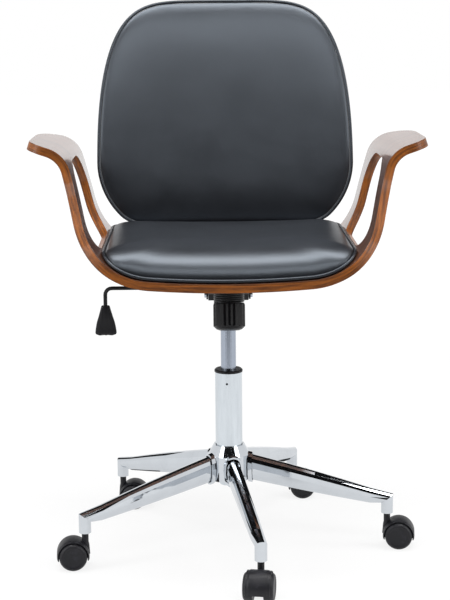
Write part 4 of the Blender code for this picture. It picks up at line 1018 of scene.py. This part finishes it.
@dataclass
class BackShell:
    """The bent plywood shell behind the back cushion and under the seat cushion."""

    form: BackForm
    band: PlywoodBand
    thickness: float = 0.012
    gap: float = 0.0003
    foot_front: float = -0.165
    foot_half: float = 0.12
    foot_corner: float = 0.03
    bend: float = 0.045
    margin: float = 0.004
    low: float = 0.020
    path: BentPath = field(init=False)
    zero: float = field(init=False)

    def __post_init__(self) -> None:
        """Bend the shell's path."""
        form = self.form
        base = self.band.path.at(0.0, self.band.thickness + self.gap).y
        centre_z = base + self.thickness + self.bend
        lean = (centre_z - form.face_z) * math.tan(form.recline)
        centre_y = form.face_y - self.bend / math.cos(form.recline) + lean
        self.path = BentPath((self.foot_front, base))
        self.path.run(centre_y - self.foot_front)
        self.path.bend(self.bend + self.thickness, math.pi / 2 - form.recline, 18)
        rise = (form.face_z - self.path.points[-1].y) / math.cos(form.recline)
        self.zero = self.path.stations[-1] + rise - self.thickness * math.tan(form.recline)
        self.path.run(0.5)

    def bow(self, x: float, v: float) -> float:
        """Return how far the shell bows forward off its middle line.

        Args:
            x: The place across.
            v: The place along the shell, from the foot's front.

        Returns:
            The distance.
        """
        across = abs(x)
        rest = self.band.thickness + self.gap
        floor = across ** 2 / (2 * (self.band.floor_radius - rest))
        share = ease(v, self.path.stations[1], self.path.stations[-2])
        return floor + (across ** 2 / (2 * self.form.bow_radius) - floor) * share

    def surface(self, x: float, v: float, height: float) -> Vector:
        """Return a point of the shell.

        Args:
            x: The place across.
            v: The place along the shell, from the foot's front.
            height: The height over its lower or rear face.

        Returns:
            The point.
        """
        point = self.path.at(v, height + self.bow(x, v))
        return Vector((x, point.x, point.y))

    def build(self, finishes: Finishes) -> None:
        """Build the shell over its CAD node."""
        bend_start = self.path.stations[1]
        foot = [
            Vector((self.foot_half - corner_inset(v, self.foot_corner), v))
            for v in end_steps(0.0, self.foot_corner, 1)]
        foot.append(Vector((self.foot_half, bend_start)))
        side = self.form.side(self.low, 0.0)
        full = side + [Vector((-point.x, point.y)) for point in reversed(side[:-1])]
        drawn = inset(full, self.margin)[1:len(side)]
        drawn[-1].x = 0.0
        first = drawn[0]
        neck = []
        for step in range(1, 16):
            share = step / 16
            v = bend_start + (self.zero + first.y - bend_start) * share
            neck.append(Vector((self.foot_half + (first.x - self.foot_half) * share ** 2, v)))
        upper = resample(neck + [Vector((p.x, self.zero + p.y)) for p in drawn], 90, closed=False)
        half = foot + upper
        outline = [tuple(point) for point in half] + [(-point.x, point.y) for point in reversed(half[:-1])]
        across = [0.0137 * step for step in range(-17, 18)]
        top = outline[len(half) - 1][1]
        along = self.path.stations[1:-1]
        along += [along[-1] + (top - along[-1]) * step / 14 for step in range(1, 14)]
        mesh = bent_sheet("back_board", outline, [], (across, along), self.surface, self.thickness)
        piece = finish_piece(mesh, "back_board", finishes.plywood, "seat", ["back_shell"])
        round_edges(piece, 0.0012)
        log.info("back board built")


class Upholstery:
    """What the two cushions share: their padded form, its relief and their piping."""

    relief: float = 0.0005
    cord: float = 0.003
    cord_gap: float = 0.0004
    count: int = 220

    def pad(self, name: str, rings: Sequence[Sequence[Vector]], finishes: Finishes, node: str) -> None:
        """Make the padded form, with the slight unevenness of stretched leather.

        Args:
            name: The piece's name.
            rings: Its rings, from the underside to the crown.
            finishes: The finishes.
            node: The CAD node that it stands for.
        """
        mesh = loft(name, rings)
        for vert in mesh.vertices:
            broad = noise.noise(vert.co * 14.0)
            fine = noise.noise(vert.co * 45.0)
            vert.co += vert.normal * self.relief * (0.75 * broad + 0.25 * fine)
        piece = finish_piece(mesh, name, finishes.leather, "seat", [node], 60.0)

    def piping(self, name: str, points: Sequence[Vector], finishes: Finishes, node: str) -> None:
        """Lay a leather cord along a seam.

        Args:
            name: The piece's name.
            points: The cord's middle line.
            finishes: The finishes.
            node: The CAD node that it stands for.
        """
        curve = bpy.data.curves.new(name, "CURVE")
        curve.dimensions = "3D"
        curve.bevel_depth = self.cord
        curve.bevel_resolution = 4
        spline = curve.splines.new("POLY")
        spline.points.add(len(points) - 1)
        for slot, point in zip(spline.points, points):
            slot.co = (*point, 1.0)
        spline.use_cyclic_u = True
        finish_piece(curve, name, finishes.piping, "seat", [node])


@dataclass
class BackCushion(Upholstery):
    """The back cushion: a crowned front panel, a boxed side and piping between them."""

    form: BackForm
    low: float = -0.004
    low_corner: float = 0.022
    crown: float = 0.015
    crown_run: float = 0.13
    middle: tuple[float, float] = (0.0, 0.16)
    lift: float = 0.0009
    panel_inset: float = 0.028

    def ring(self, points: Iterable[Vector], height: float) -> list[Vector]:
        """Return a ring at one height in front of the shell.

        Args:
            points: Its points, each x and the place up the back.
            height: The height, without the cushion's lift off the shell.

        Returns:
            The ring.
        """
        return [self.form.point(*point, height + self.lift) for point in points]

    def build(self, finishes: Finishes) -> None:
        """Build the cushion and its piping over their CAD nodes."""
        side = self.form.side(self.low, self.low_corner)
        loop = side + [Vector((-point.x, point.y)) for point in reversed(side[:-1])]
        line = inset(resample(loop, self.count), self.cord)
        seam = self.cord + self.cord_gap
        edge = self.form.edge
        middle = Vector(self.middle)
        rings = [
            self.ring([middle.lerp(point, share) for point in inset(line, 0.012)], 0.0)
            for share in (0.12, 0.35, 0.6, 0.85)]
        profile = (
            (0.0105, 0.0), (0.0060, 0.0015), (0.0034, 0.005), (0.0018, 0.011), (0.0012, 0.018), (0.0014, 0.025),
            (0.0022, 0.0305), (seam, 0.0335), (seam + 0.0006, 0.0350), (seam + 0.0002, 0.0366))
        rings += [self.ring(inset(line, depth), height) for depth, height in profile]
        for depth in (0.0038, 0.0046, 0.0058, 0.0076, 0.0105, 0.015, 0.021, self.panel_inset):
            rise = self.rise((depth - seam) / self.crown_run)
            rings.append(self.ring(inset(line, depth), edge + self.crown * rise))
        inner = inset(line, self.panel_inset)
        start = (self.panel_inset - seam) / self.crown_run
        for share in (0.93, 0.85, 0.75, 0.64, 0.52, 0.4, 0.28, 0.16, 0.06):
            rise = self.rise(start + (1 - share) * 1.5)
            rings.append(self.ring([middle.lerp(point, share) for point in inner], edge + self.crown * rise))
        self.pad("back_pad", rings, finishes, "back_cushion")
        points = [self.form.point(*point, edge - 0.0001) for point in line]
        self.piping("back_cord", points, finishes, "back_piping")
        log.info("back cushion built")

    def rise(self, share: float) -> float:
        """Return the share of the crown's height at a share of the way in from the seam.

        Args:
            share: The share of the way.

        Returns:
            The share of the height.
        """
        return (1 - (1 - min(max(share, 0.0), 1.0)) ** 3.2) ** 0.7


@dataclass
class SeatCushion(Upholstery):
    """The seat cushion in the band's hollow, with its piping low along the front."""

    band: PlywoodBand
    half: float = 0.2405
    front: float = -0.2295
    rear: float = 0.157
    front_corner: float = 0.055
    rear_corner: float = 0.035
    edge_height: float = 0.0042
    crown: float = 0.0603
    crown_power: float = 4.0
    crown_root: float = 0.58
    dish_radius: float = 3.2
    crown_shift: float = 0.04
    level_run: tuple[float, float] = (0.085, 0.135)
    gap: float = 0.0003
    clearance: float = 0.0006
    foot_half: float = 0.130
    foot_front: float = -0.17
    foot_lift: float = 0.0128
    hollow_half: float = 0.165
    hollow_front: float = -0.195

    def edge(self, s: float, y: float, share: float) -> Vector:
        """Return a point of the side.

        Args:
            s: The place across, along the band.
            y: The place from front to rear.
            share: 0 on the wood, 1 at the seam.

        Returns:
            The point.
        """
        rest = self.band.thickness + self.gap
        low = self.band.path.at(abs(s), rest)
        high = self.band.path.at(abs(s), rest + self.edge_height)
        side_z = self.band.path.at(self.half, rest + self.edge_height).y
        top = high.y + (side_z - high.y) * ease(y, *self.level_run)
        point = low.lerp(Vector((high.x, top)), share)
        return Vector((math.copysign(point.x, s), y, point.y))

    def build(self, finishes: Finishes) -> None:
        """Build the cushion and its piping over their CAD nodes."""
        corners = [
            (-self.half, self.front, self.front_corner), (self.half, self.front, self.front_corner),
            (self.half, self.rear, self.rear_corner), (-self.half, self.rear, self.rear_corner)]
        line = resample(rounded_outline(corners, 24), self.count)
        seam = [self.edge(*point, 1.0) for point in line]
        near = inset([point.xy for point in seam], self.cord + self.cord_gap)
        inner = inset(line, 0.009)
        rings = [[self.floor_point(point, share) for point in inner] for share in (0.3, 0.62, 0.85, 0.97)]
        rings.append([self.floor_point(point, 1.0) for point in inset(line, 0.0085)])
        for lift in (-0.0028, -0.0005, 0.0012):
            rings.append([Vector((*flat, point.z + lift)) for flat, point in zip(near, seam)])
        top = self.band.underside + self.band.thickness + self.gap + self.crown
        last = rings[-1]
        shares = (
            0.999, 0.9965, 0.992, 0.985, 0.972, 0.955, 0.935, 0.91, 0.88, 0.845, 0.805, 0.76, 0.71, 0.65, 0.58, 0.5,
            0.41, 0.31, 0.2, 0.09)
        for share in shares:
            ring = []
            for point in last:
                x = point.x * share
                crown = top + x ** 2 / (2 * self.dish_radius)
                height = point.z + (crown - point.z) * (1 - share ** self.crown_power) ** self.crown_root
                ring.append(Vector((x, point.y * share - self.crown_shift * (1 - share), height)))
            rings.append(ring)
        self.pad("seat_pad", rings, finishes, "seat_cushion")
        self.piping("seat_cord", seam, finishes, "seat_piping")
        log.info("seat cushion built")

    def floor_point(self, point: Vector, share: float) -> Vector:
        """Return a point of the underside, over the back board's foot where that lies.

        Args:
            point: A point of the underside's outline, s and y.
            share: How far out it is drawn from the middle, 1 on the outline.

        Returns:
            The point.
        """
        place = self.edge(point.x * share, point.y * share, 0.0)
        place.z += self.clearance
        half, front = (self.foot_half, self.foot_front) if share == 1.0 else (self.hollow_half, self.hollow_front)
        if abs(place.x) < half and place.y > front:
            place.z += self.foot_lift
        return place


@dataclass
class Caster:
    """One twin-wheel caster: a hood over two wheels, on its leg."""

    number: int
    socket: Vector
    heading: float
    trail: float = 0.022
    wheel_radius: float = 0.025
    wheel_width: float = 0.0173
    wheel_gap: float = 0.0184
    hood_radius: float = 0.029
    hood_wall: float = 0.0028
    hood_width: float = 0.043
    skirt: float = 0.0185
    web: float = 0.017
    axle: float = 0.0026
    neck_radius: float = 0.006
    neck_top: float = 0.064
    stem_bore: float = 0.0055
    stem_depth: float = 0.0183

    def placed(self, point: Vector) -> Vector:
        """Return a point of the caster at its place under the leg.

        Args:
            point: The point, given about the axle.

        Returns:
            The point in the shared frame.
        """
        turn = Matrix.Rotation(math.radians(self.heading), 4, "Z")
        shift = Matrix.Translation((self.trail, 0.0, self.wheel_radius))
        return self.socket + turn @ shift @ point

    def wheel_mesh(self, side: int) -> bpy.types.Mesh:
        """Return one wheel: a tread with rounded shoulders and a shallow dished face.

        Args:
            side: 1 or -1, along the axle.

        Returns:
            The mesh.
        """
        face = self.wheel_gap / 2
        outer = face + self.wheel_width
        radius = self.wheel_radius
        profile = (
            (0.0030, outer - 0.0012), (0.0080, outer - 0.0011), (0.0165, outer - 0.0009), (0.0178, outer - 0.0007),
            (0.0186, outer - 0.0001), (0.0198, outer), (0.0212, outer - 0.0004), (0.0228, outer - 0.0016),
            (0.0240, outer - 0.0032), (0.0247, outer - 0.0050), (radius, outer - 0.0068), (radius, face + 0.001),
            (radius - 0.0008, face + 0.0003), (0.0200, face + 0.0003), (self.axle + 0.0004, face + 0.0003),
            (self.axle + 0.0003, outer - 0.0042))
        return loft("wheel", [[
            self.placed(Vector((reach * math.cos(angle), side * height, reach * math.sin(angle))))
            for angle in turns(72)] for reach, height in profile])

    def hood_mesh(self) -> bpy.types.Mesh:
        """Return the hood: a shell round the wheels' upper half, its web, and its neck."""
        half = self.hood_width / 2
        outer = self.hood_radius
        inner = outer - self.hood_wall
        drop = self.wheel_radius - self.skirt
        web = self.web / 2
        profile = [
            (drop + 0.0006, -web), (inner, -web), (inner, -half + 0.0004), (inner + 0.0005, -half),
            (outer - 0.0022, -half), (outer - 0.0012, -half + 0.0005), (outer - 0.0010, -half + 0.0018),
            (outer - 0.0010, -half + 0.0046), (outer - 0.0003, -half + 0.0056), (outer, -half + 0.0070)]
        profile += [(reach, -across) for reach, across in reversed(profile)]
        arch = []
        steps = 56
        for step in range(steps + 1):
            ring = []
            for reach, across in profile:
                low = math.asin(drop / reach)
                angle = -low + (math.pi + 2 * low) * step / steps
                ring.append(self.placed(Vector((reach * math.cos(angle), across, reach * math.sin(angle)))))
            arch.append(ring)
        shape = bmesh.new()
        for rings in (arch, self.neck_rings()):
            rows = skin(shape, rings)
            shape.faces.new(rows[0])
            shape.faces.new(rows[-1])
        bmesh.ops.recalc_face_normals(shape, faces=shape.faces)
        return to_mesh(shape, "hood")

    def neck_rings(self) -> list[list[Vector]]:
        """Return the rings of the hood's neck, which runs into the leg's socket and takes the stem."""
        top = self.neck_top - self.wheel_radius
        profile = (
            (self.neck_radius + 0.0024, 0.0), (self.neck_radius + 0.0010, 0.0185), (self.neck_radius, 0.0225),
            (self.neck_radius, top - 0.0008), (self.neck_radius - 0.0003, top), (self.stem_bore, top),
            (self.stem_bore, top - self.stem_depth))
        return [[
            self.placed(Vector((reach * math.cos(angle) - self.trail, reach * math.sin(angle), height)))
            for angle in turns(32)] for reach, height in profile]

    def build(self, finishes: Finishes) -> None:
        """Build the hood and both wheels over their CAD nodes."""
        number = self.number
        finish_piece(
            self.hood_mesh(), f"hood_{number}", finishes.wheel, f"caster_{number}",
            [f"caster_hood_{number}"])
        for side, label in ((1, "left"), (-1, "right")):
            finish_piece(
                self.wheel_mesh(side), f"wheel_{number}_{label}", finishes.wheel, f"wheel_{number}_{label}",
                [f"caster_wheel_{number}_{label}"], 40.0)


@dataclass
class CasterSet:
    """The five casters under the ends of the legs."""

    circle: float = 0.293
    first_leg: float = 9.3
    headings: tuple[float, ...] = (-100.0, 184.7, -3.0, -3.0, -7.5)

    def build(self, finishes: Finishes) -> None:
        """Build every caster."""
        for index, heading in enumerate(self.headings):
            turn = math.radians(self.first_leg - 72.0 * index - 90.0)
            socket = Vector((self.circle * math.cos(turn), self.circle * math.sin(turn), 0.0))
            Caster(index + 1, socket, heading).build(finishes)
        log.info("casters built")


@dataclass
class TiltSpring:
    """The tilt spring between the housing's floor and the washer, which shortens as the seat tilts."""

    foot: tuple[float, float, float] = (0.0, -0.100, 0.4898)
    lean: float = 15.0
    length: float = 0.0185
    radius: float = 0.0256
    wire: float = 0.0016
    turns: float = 4.6
    gap: float = 0.0004

    def build(self, finishes: Finishes) -> None:
        """Build the spring over its CAD node."""
        lean = math.radians(self.lean)
        foot = Vector(self.foot)
        axis = Vector((0.0, -math.sin(lean), -math.cos(lean)))
        to_axis = axis.to_track_quat("Z", "Y").to_matrix()
        first = self.wire + self.gap
        last = self.length - self.wire - self.gap
        per_turn = 28
        count = round(self.turns * per_turn)
        rings = []
        for step in range(count + 1):
            angle = math.tau * step / per_turn
            rise = ease(step, -0.25 * per_turn, count + 0.25 * per_turn)
            height = first + (last - first) * (0.25 * rise + 0.75 * step / count)
            out = Vector((math.cos(angle), math.sin(angle), 0.0))
            middle = out * self.radius + Vector((0.0, 0.0, height))
            ring = []
            for turn in turns(12):
                lift = Vector((0.0, 0.0, math.sin(turn))) + out * math.cos(turn)
                ring.append(foot + to_axis @ (middle + lift * self.wire))
            rings.append(ring)
        mesh = loft("spring_coil", rings)
        piece = finish_piece(mesh, "spring_coil", finishes.spring, None, ["tilt_spring"], 50.0)
        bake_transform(piece)
        log.info("spring built")


@dataclass
class LeverGrip:
    """The flat flared grip on the lever, with a rim, a raised rib and three lobes along its lower edge."""

    x: float = -0.2235
    top: float = 0.4495
    top_width: float = 0.016
    width: float = 0.039
    length: float = 0.0552
    bore: float = 0.0042
    count: int = 96

    def ring(
        self, width: float, thickness: float, height: float, rib: float = 0.0, lobe: float = 0.0
    ) -> list[Vector]:
        """Return one level ring of the grip.

        Args:
            width: Its width.
            thickness: Its thickness.
            height: Its height.
            rib: How far the middle rib and the rim stand out.
            lobe: How far the lobes drop.

        Returns:
            The points.
        """
        points = []
        for angle in turns(self.count):
            across = math.copysign(abs(math.cos(angle)) ** 0.6, math.cos(angle)) * width / 2
            side = math.copysign(abs(math.sin(angle)) ** 0.6, math.sin(angle)) * thickness / 2
            share = abs(across) / (width / 2)
            middle = math.exp(-(across / 0.0047) ** 4) + math.exp(-((share - 0.86) / 0.10) ** 2)
            side += math.copysign(rib * (middle - 0.5), side) * (abs(math.sin(angle)) > 0.3)
            drop = lobe * (1 + math.cos(3 * math.tau * across / width)) / 2
            points.append(Vector((self.x + across, side, height - drop)))
        return points

    def bore_ring(self, height: float) -> list[Vector]:
        """Return a ring of the hole for the rod.

        Args:
            height: Its height.

        Returns:
            The points.
        """
        return [
            Vector((self.x + self.bore * math.cos(angle), self.bore * math.sin(angle), height))
            for angle in turns(self.count)]

    def build(self, finishes: Finishes) -> None:
        """Build the grip over its CAD node."""
        top = self.top
        low = top - self.length
        rings = [self.bore_ring(top - 0.0231), self.bore_ring(top)]
        sections = (
            (self.top_width - 0.003, 0.0100, 0.0, 0.0), (self.top_width - 0.0008, 0.0116, 0.0006, 0.0),
            (self.top_width, 0.0123, 0.0018, 0.0002), (0.0186, 0.0124, 0.0065, 0.0007),
            (0.0215, 0.0122, 0.012, 0.0011), (0.0246, 0.0120, 0.0172, 0.0013), (0.0275, 0.0117, 0.0222, 0.0013),
            (0.0301, 0.0113, 0.0262, 0.0012), (0.0325, 0.0108, 0.0300, 0.0006), (0.0345, 0.0103, 0.0345, 0.0002),
            (0.0365, 0.0097, 0.0400, 0.0002), (0.0381, 0.0092, 0.0450, 0.0003))
        rings += [self.ring(width, thickness, top - drop, rib) for width, thickness, drop, rib in sections]
        edges = (
            (self.width, 0.0090, 0.006, 0.0005, 0.0002), (self.width - 0.0003, 0.0090, 0.0042, 0.0004, 0.0006),
            (self.width - 0.002, 0.0082, 0.0024, 0.0, 0.0010), (self.width - 0.005, 0.0064, 0.0015, 0.0, 0.0012),
            (self.width - 0.009, 0.0040, 0.0012, 0.0, 0.0012))
        rings += [self.ring(width, thickness, low + rise, rib, lobe) for width, thickness, rise, rib, lobe in edges]
        mesh = loft("grip", rings)
        finish_piece(mesh, "grip", finishes.plastic, "lever", ["lever_grip"], 50.0)
        log.info("grip built")


@dataclass
class CadFinishes:
    """The finish of every CAD node that keeps its own shape: how the names start, for each finish."""

    chrome: tuple[str, ...] = ("base_",)
    tube: tuple[str, ...] = ("column_tube",)
    zinc: tuple[str, ...] = ("caster_axle", "caster_stem", "piston_rod", "thrust_bearing", "valve_button",
                             "pivot_shaft")
    turned: tuple[str, ...] = ("gas_cylinder",)
    paint: tuple[str, ...] = ("retaining_clip", "mechanism_housing", "seat_plate", "seat_bolt", "tension_screw",
                              "spring_washer", "lever_rod")
    plastic: tuple[str, ...] = ("column_bushing", "lever_pivot")
    knob: tuple[str, ...] = ("tension_knob",)
    wheel: tuple[str, ...] = ("front_bumper",)

    def dress(self, finishes: Finishes) -> None:
        """Give each CAD node its finish."""
        for kind in fields(self):
            starts = getattr(self, kind.name)
            for name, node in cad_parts.items():
                if name.startswith(starts):
                    node.data.materials.clear()
                    node.data.materials.append(getattr(finishes, kind.name))
        log.info("CAD nodes dressed")


@dataclass
class PhotoCamera:
    """The camera of the photograph."""

    distance: float = 2.8333
    height: float = 0.9986
    focal: float = 1580.46
    pitch: float = 10.4257
    roll: float = 0.4396
    azimuth: float = -1.0
    centre: tuple[float, float] = (227.9, 289.33)
    size: tuple[int, int] = (450, 600)

    def build(self) -> None:
        """Set the camera up."""
        data = bpy.data.cameras.new("photo_camera")
        data.sensor_fit = "VERTICAL"
        data.sensor_height = 36.0
        data.lens = self.focal / self.size[1] * data.sensor_height
        data.shift_x = (self.size[0] / 2 - self.centre[0]) / self.size[1]
        data.shift_y = (self.centre[1] - self.size[1] / 2) / self.size[1]
        camera = add_object("photo_camera", data)
        turn = Matrix.Rotation(math.radians(self.azimuth), 4, "Z")
        tilt = Matrix.Rotation(math.radians(90 - self.pitch), 4, "X")
        roll = Matrix.Rotation(math.radians(-self.roll), 4, "Z")
        camera.matrix_world = turn @ Matrix.Translation((0, -self.distance, self.height)) @ tilt @ roll
        bpy.context.scene.camera = camera
        log.info("camera set")


@dataclass(frozen=True)
class SoftBox:
    """One large soft lamp."""

    name: str
    place: tuple[float, float, float]
    target: tuple[float, float, float]
    size: tuple[float, float]
    power: float

    def build(self) -> None:
        """Hang the lamp."""
        data = bpy.data.lights.new(self.name, "AREA")
        data.shape = "RECTANGLE"
        data.size, data.size_y = self.size
        data.energy = self.power
        lamp = add_object(self.name, data)
        lamp.location = self.place
        aim = Vector(self.target) - Vector(self.place)
        lamp.rotation_euler = aim.to_track_quat("-Z", "Y").to_euler()


@dataclass(frozen=True)
class DarkCard:
    """A dark flat card out of the picture, for glossy surfaces to show."""

    name: str
    first: tuple[float, float]
    second: tuple[float, float]
    half_width: float = 4.5
    tone: float = 0.02
    steps: int = 6

    def build(self) -> None:
        """Set the card up between its first and its second edge, each given as y and z."""
        shape = bmesh.new()
        rows = []
        for step in range(self.steps + 1):
            y, z = Vector(self.first).lerp(Vector(self.second), step / self.steps)
            rows.append([shape.verts.new((side * self.half_width, y, z)) for side in (-1, 1)])
        for lower, upper in zip(rows, rows[1:]):
            shape.faces.new((lower[0], lower[1], upper[1], upper[0]))
        mesh = to_mesh(shape, self.name)
        card = add_object(self.name, mesh)
        shader = Shader(self.name)
        shader.set(Base_Color=(self.tone, self.tone, self.tone * 1.05), Roughness=0.9, Specular_IOR_Level=0.0)
        path = shader.node("ShaderNodeLightPath")
        clear = shader.node("ShaderNodeBsdfTransparent")
        shader.cover(Value(shader, path.outputs["Is Camera Ray"]), clear.outputs[0])
        mesh.materials.append(shader.material)


@dataclass
class Studio:
    """The white studio: floor, surroundings, cards and lamps."""

    lamps: tuple[SoftBox, ...] = (
        SoftBox("top_box", (0.0, 0.0, 2.6), (0.0, -0.1, 0.5), (2.6, 0.9), 60.0),
        SoftBox("front_box", (0.0, -1.8, 2.5), (0.0, 0.2, 0.8), (2.4, 0.7), 27.0),
        SoftBox("left_box", (-2.2, -1.2, 1.5), (0.0, 0.0, 0.6), (1.0, 2.0), 22.0),
        SoftBox("right_box", (2.2, -1.2, 1.5), (0.0, 0.0, 0.6), (1.0, 2.0), 22.0),
    )
    cards: tuple[DarkCard, ...] = (
        DarkCard("rear_card", (4.8, 1.7), (2.1, 5.0)),
        DarkCard("top_card", (1.55, 5.15), (0.7, 5.35)),
        DarkCard("high_card", (-0.95, 5.2), (-2.5, 4.4)),
        DarkCard("brow_card", (-2.5, 4.4), (-4.6, 3.0), half_width=3.0),
        DarkCard("front_card", (-4.6, 0.004), (-4.6, 3.0), half_width=3.0),
        DarkCard("floor_card", (-4.6, 0.004), (-1.9, 0.004), half_width=3.0),
    )
    ambient: float = 0.55
    floor_half: float = 14.0
    floor_drop: float = 0.0002
    glow: float = 1.05
    glow_run: tuple[float, float] = (0.7, 2.4)

    def build(self) -> None:
        """Build the studio."""
        for item in (*self.lamps, *self.cards):
            item.build()
        self.build_world()
        self.build_floor()
        bpy.context.scene.view_settings.view_transform = "Standard"
        log.info("studio set")

    def build_world(self) -> None:
        """Surround the chair with white for the camera and for reflections, and with less light for the rest."""
        world = bpy.data.worlds.new("studio")
        bpy.context.scene.world = world
        world.use_nodes = True
        tree = world.node_tree
        path = tree.nodes.new("ShaderNodeLightPath")
        seen = path.outputs["Is Camera Ray"]
        for kind in ("Is Glossy Ray", "Is Transmission Ray"):
            either = tree.nodes.new("ShaderNodeMath")
            either.operation = "MAXIMUM"
            tree.links.new(seen, either.inputs[0])
            tree.links.new(path.outputs[kind], either.inputs[1])
            seen = either.outputs[0]
        strength = tree.nodes.new("ShaderNodeMapRange")
        strength.inputs["To Min"].default_value = self.ambient
        strength.inputs["To Max"].default_value = 1.0
        tree.links.new(seen, strength.inputs["Value"])
        background = tree.nodes["Background"]
        background.inputs["Color"].default_value = (1.0, 1.0, 1.0, 1.0)
        tree.links.new(strength.outputs[0], background.inputs["Strength"])

    def build_floor(self) -> None:
        """Lay the white floor."""
        shape = bmesh.new()
        bmesh.ops.create_grid(shape, x_segments=2, y_segments=2, size=self.floor_half)
        mesh = to_mesh(shape, "studio_floor")
        floor = add_object("studio_floor", mesh)
        floor.location = (0.0, 0.0, -self.floor_drop)
        shader = Shader("floor_white")
        shader.set(Base_Color=(0.86, 0.86, 0.86), Roughness=0.6, Specular_IOR_Level=0.2)
        path = shader.node("ShaderNodeLightPath")
        seen = Value(shader, path.outputs["Is Camera Ray"]) + Value(shader, path.outputs["Is Glossy Ray"])
        seen = seen + Value(shader, path.outputs["Is Transmission Ray"])
        far = Value(shader, shader.node(
            "ShaderNodeVectorMath", {"operation": "LENGTH"}, {0: shader.place()}).outputs["Value"])
        glow = shader.node("ShaderNodeEmission", None, {"Color": (1.0, 1.0, 1.0), "Strength": self.glow})
        shader.cover(seen * (0.80 + far.step(*self.glow_run) * 0.2), glow.outputs[0])
        mesh.materials.append(shader.material)


def main() -> None:
    """Build the scene."""
    logging.basicConfig(level=logging.INFO)
    finishes = Finishes()
    PhotoCamera().build()
    Studio().build()
    CadFinishes().dress(finishes)
    band = PlywoodBand()
    band.build(finishes)
    form = BackForm()
    BackShell(form, band).build(finishes)
    SeatCushion(band).build(finishes)
    BackCushion(form).build(finishes)
    CasterSet().build(finishes)
    TiltSpring().build(finishes)
    LeverGrip().build(finishes)


if __name__ == "__main__":
    main()
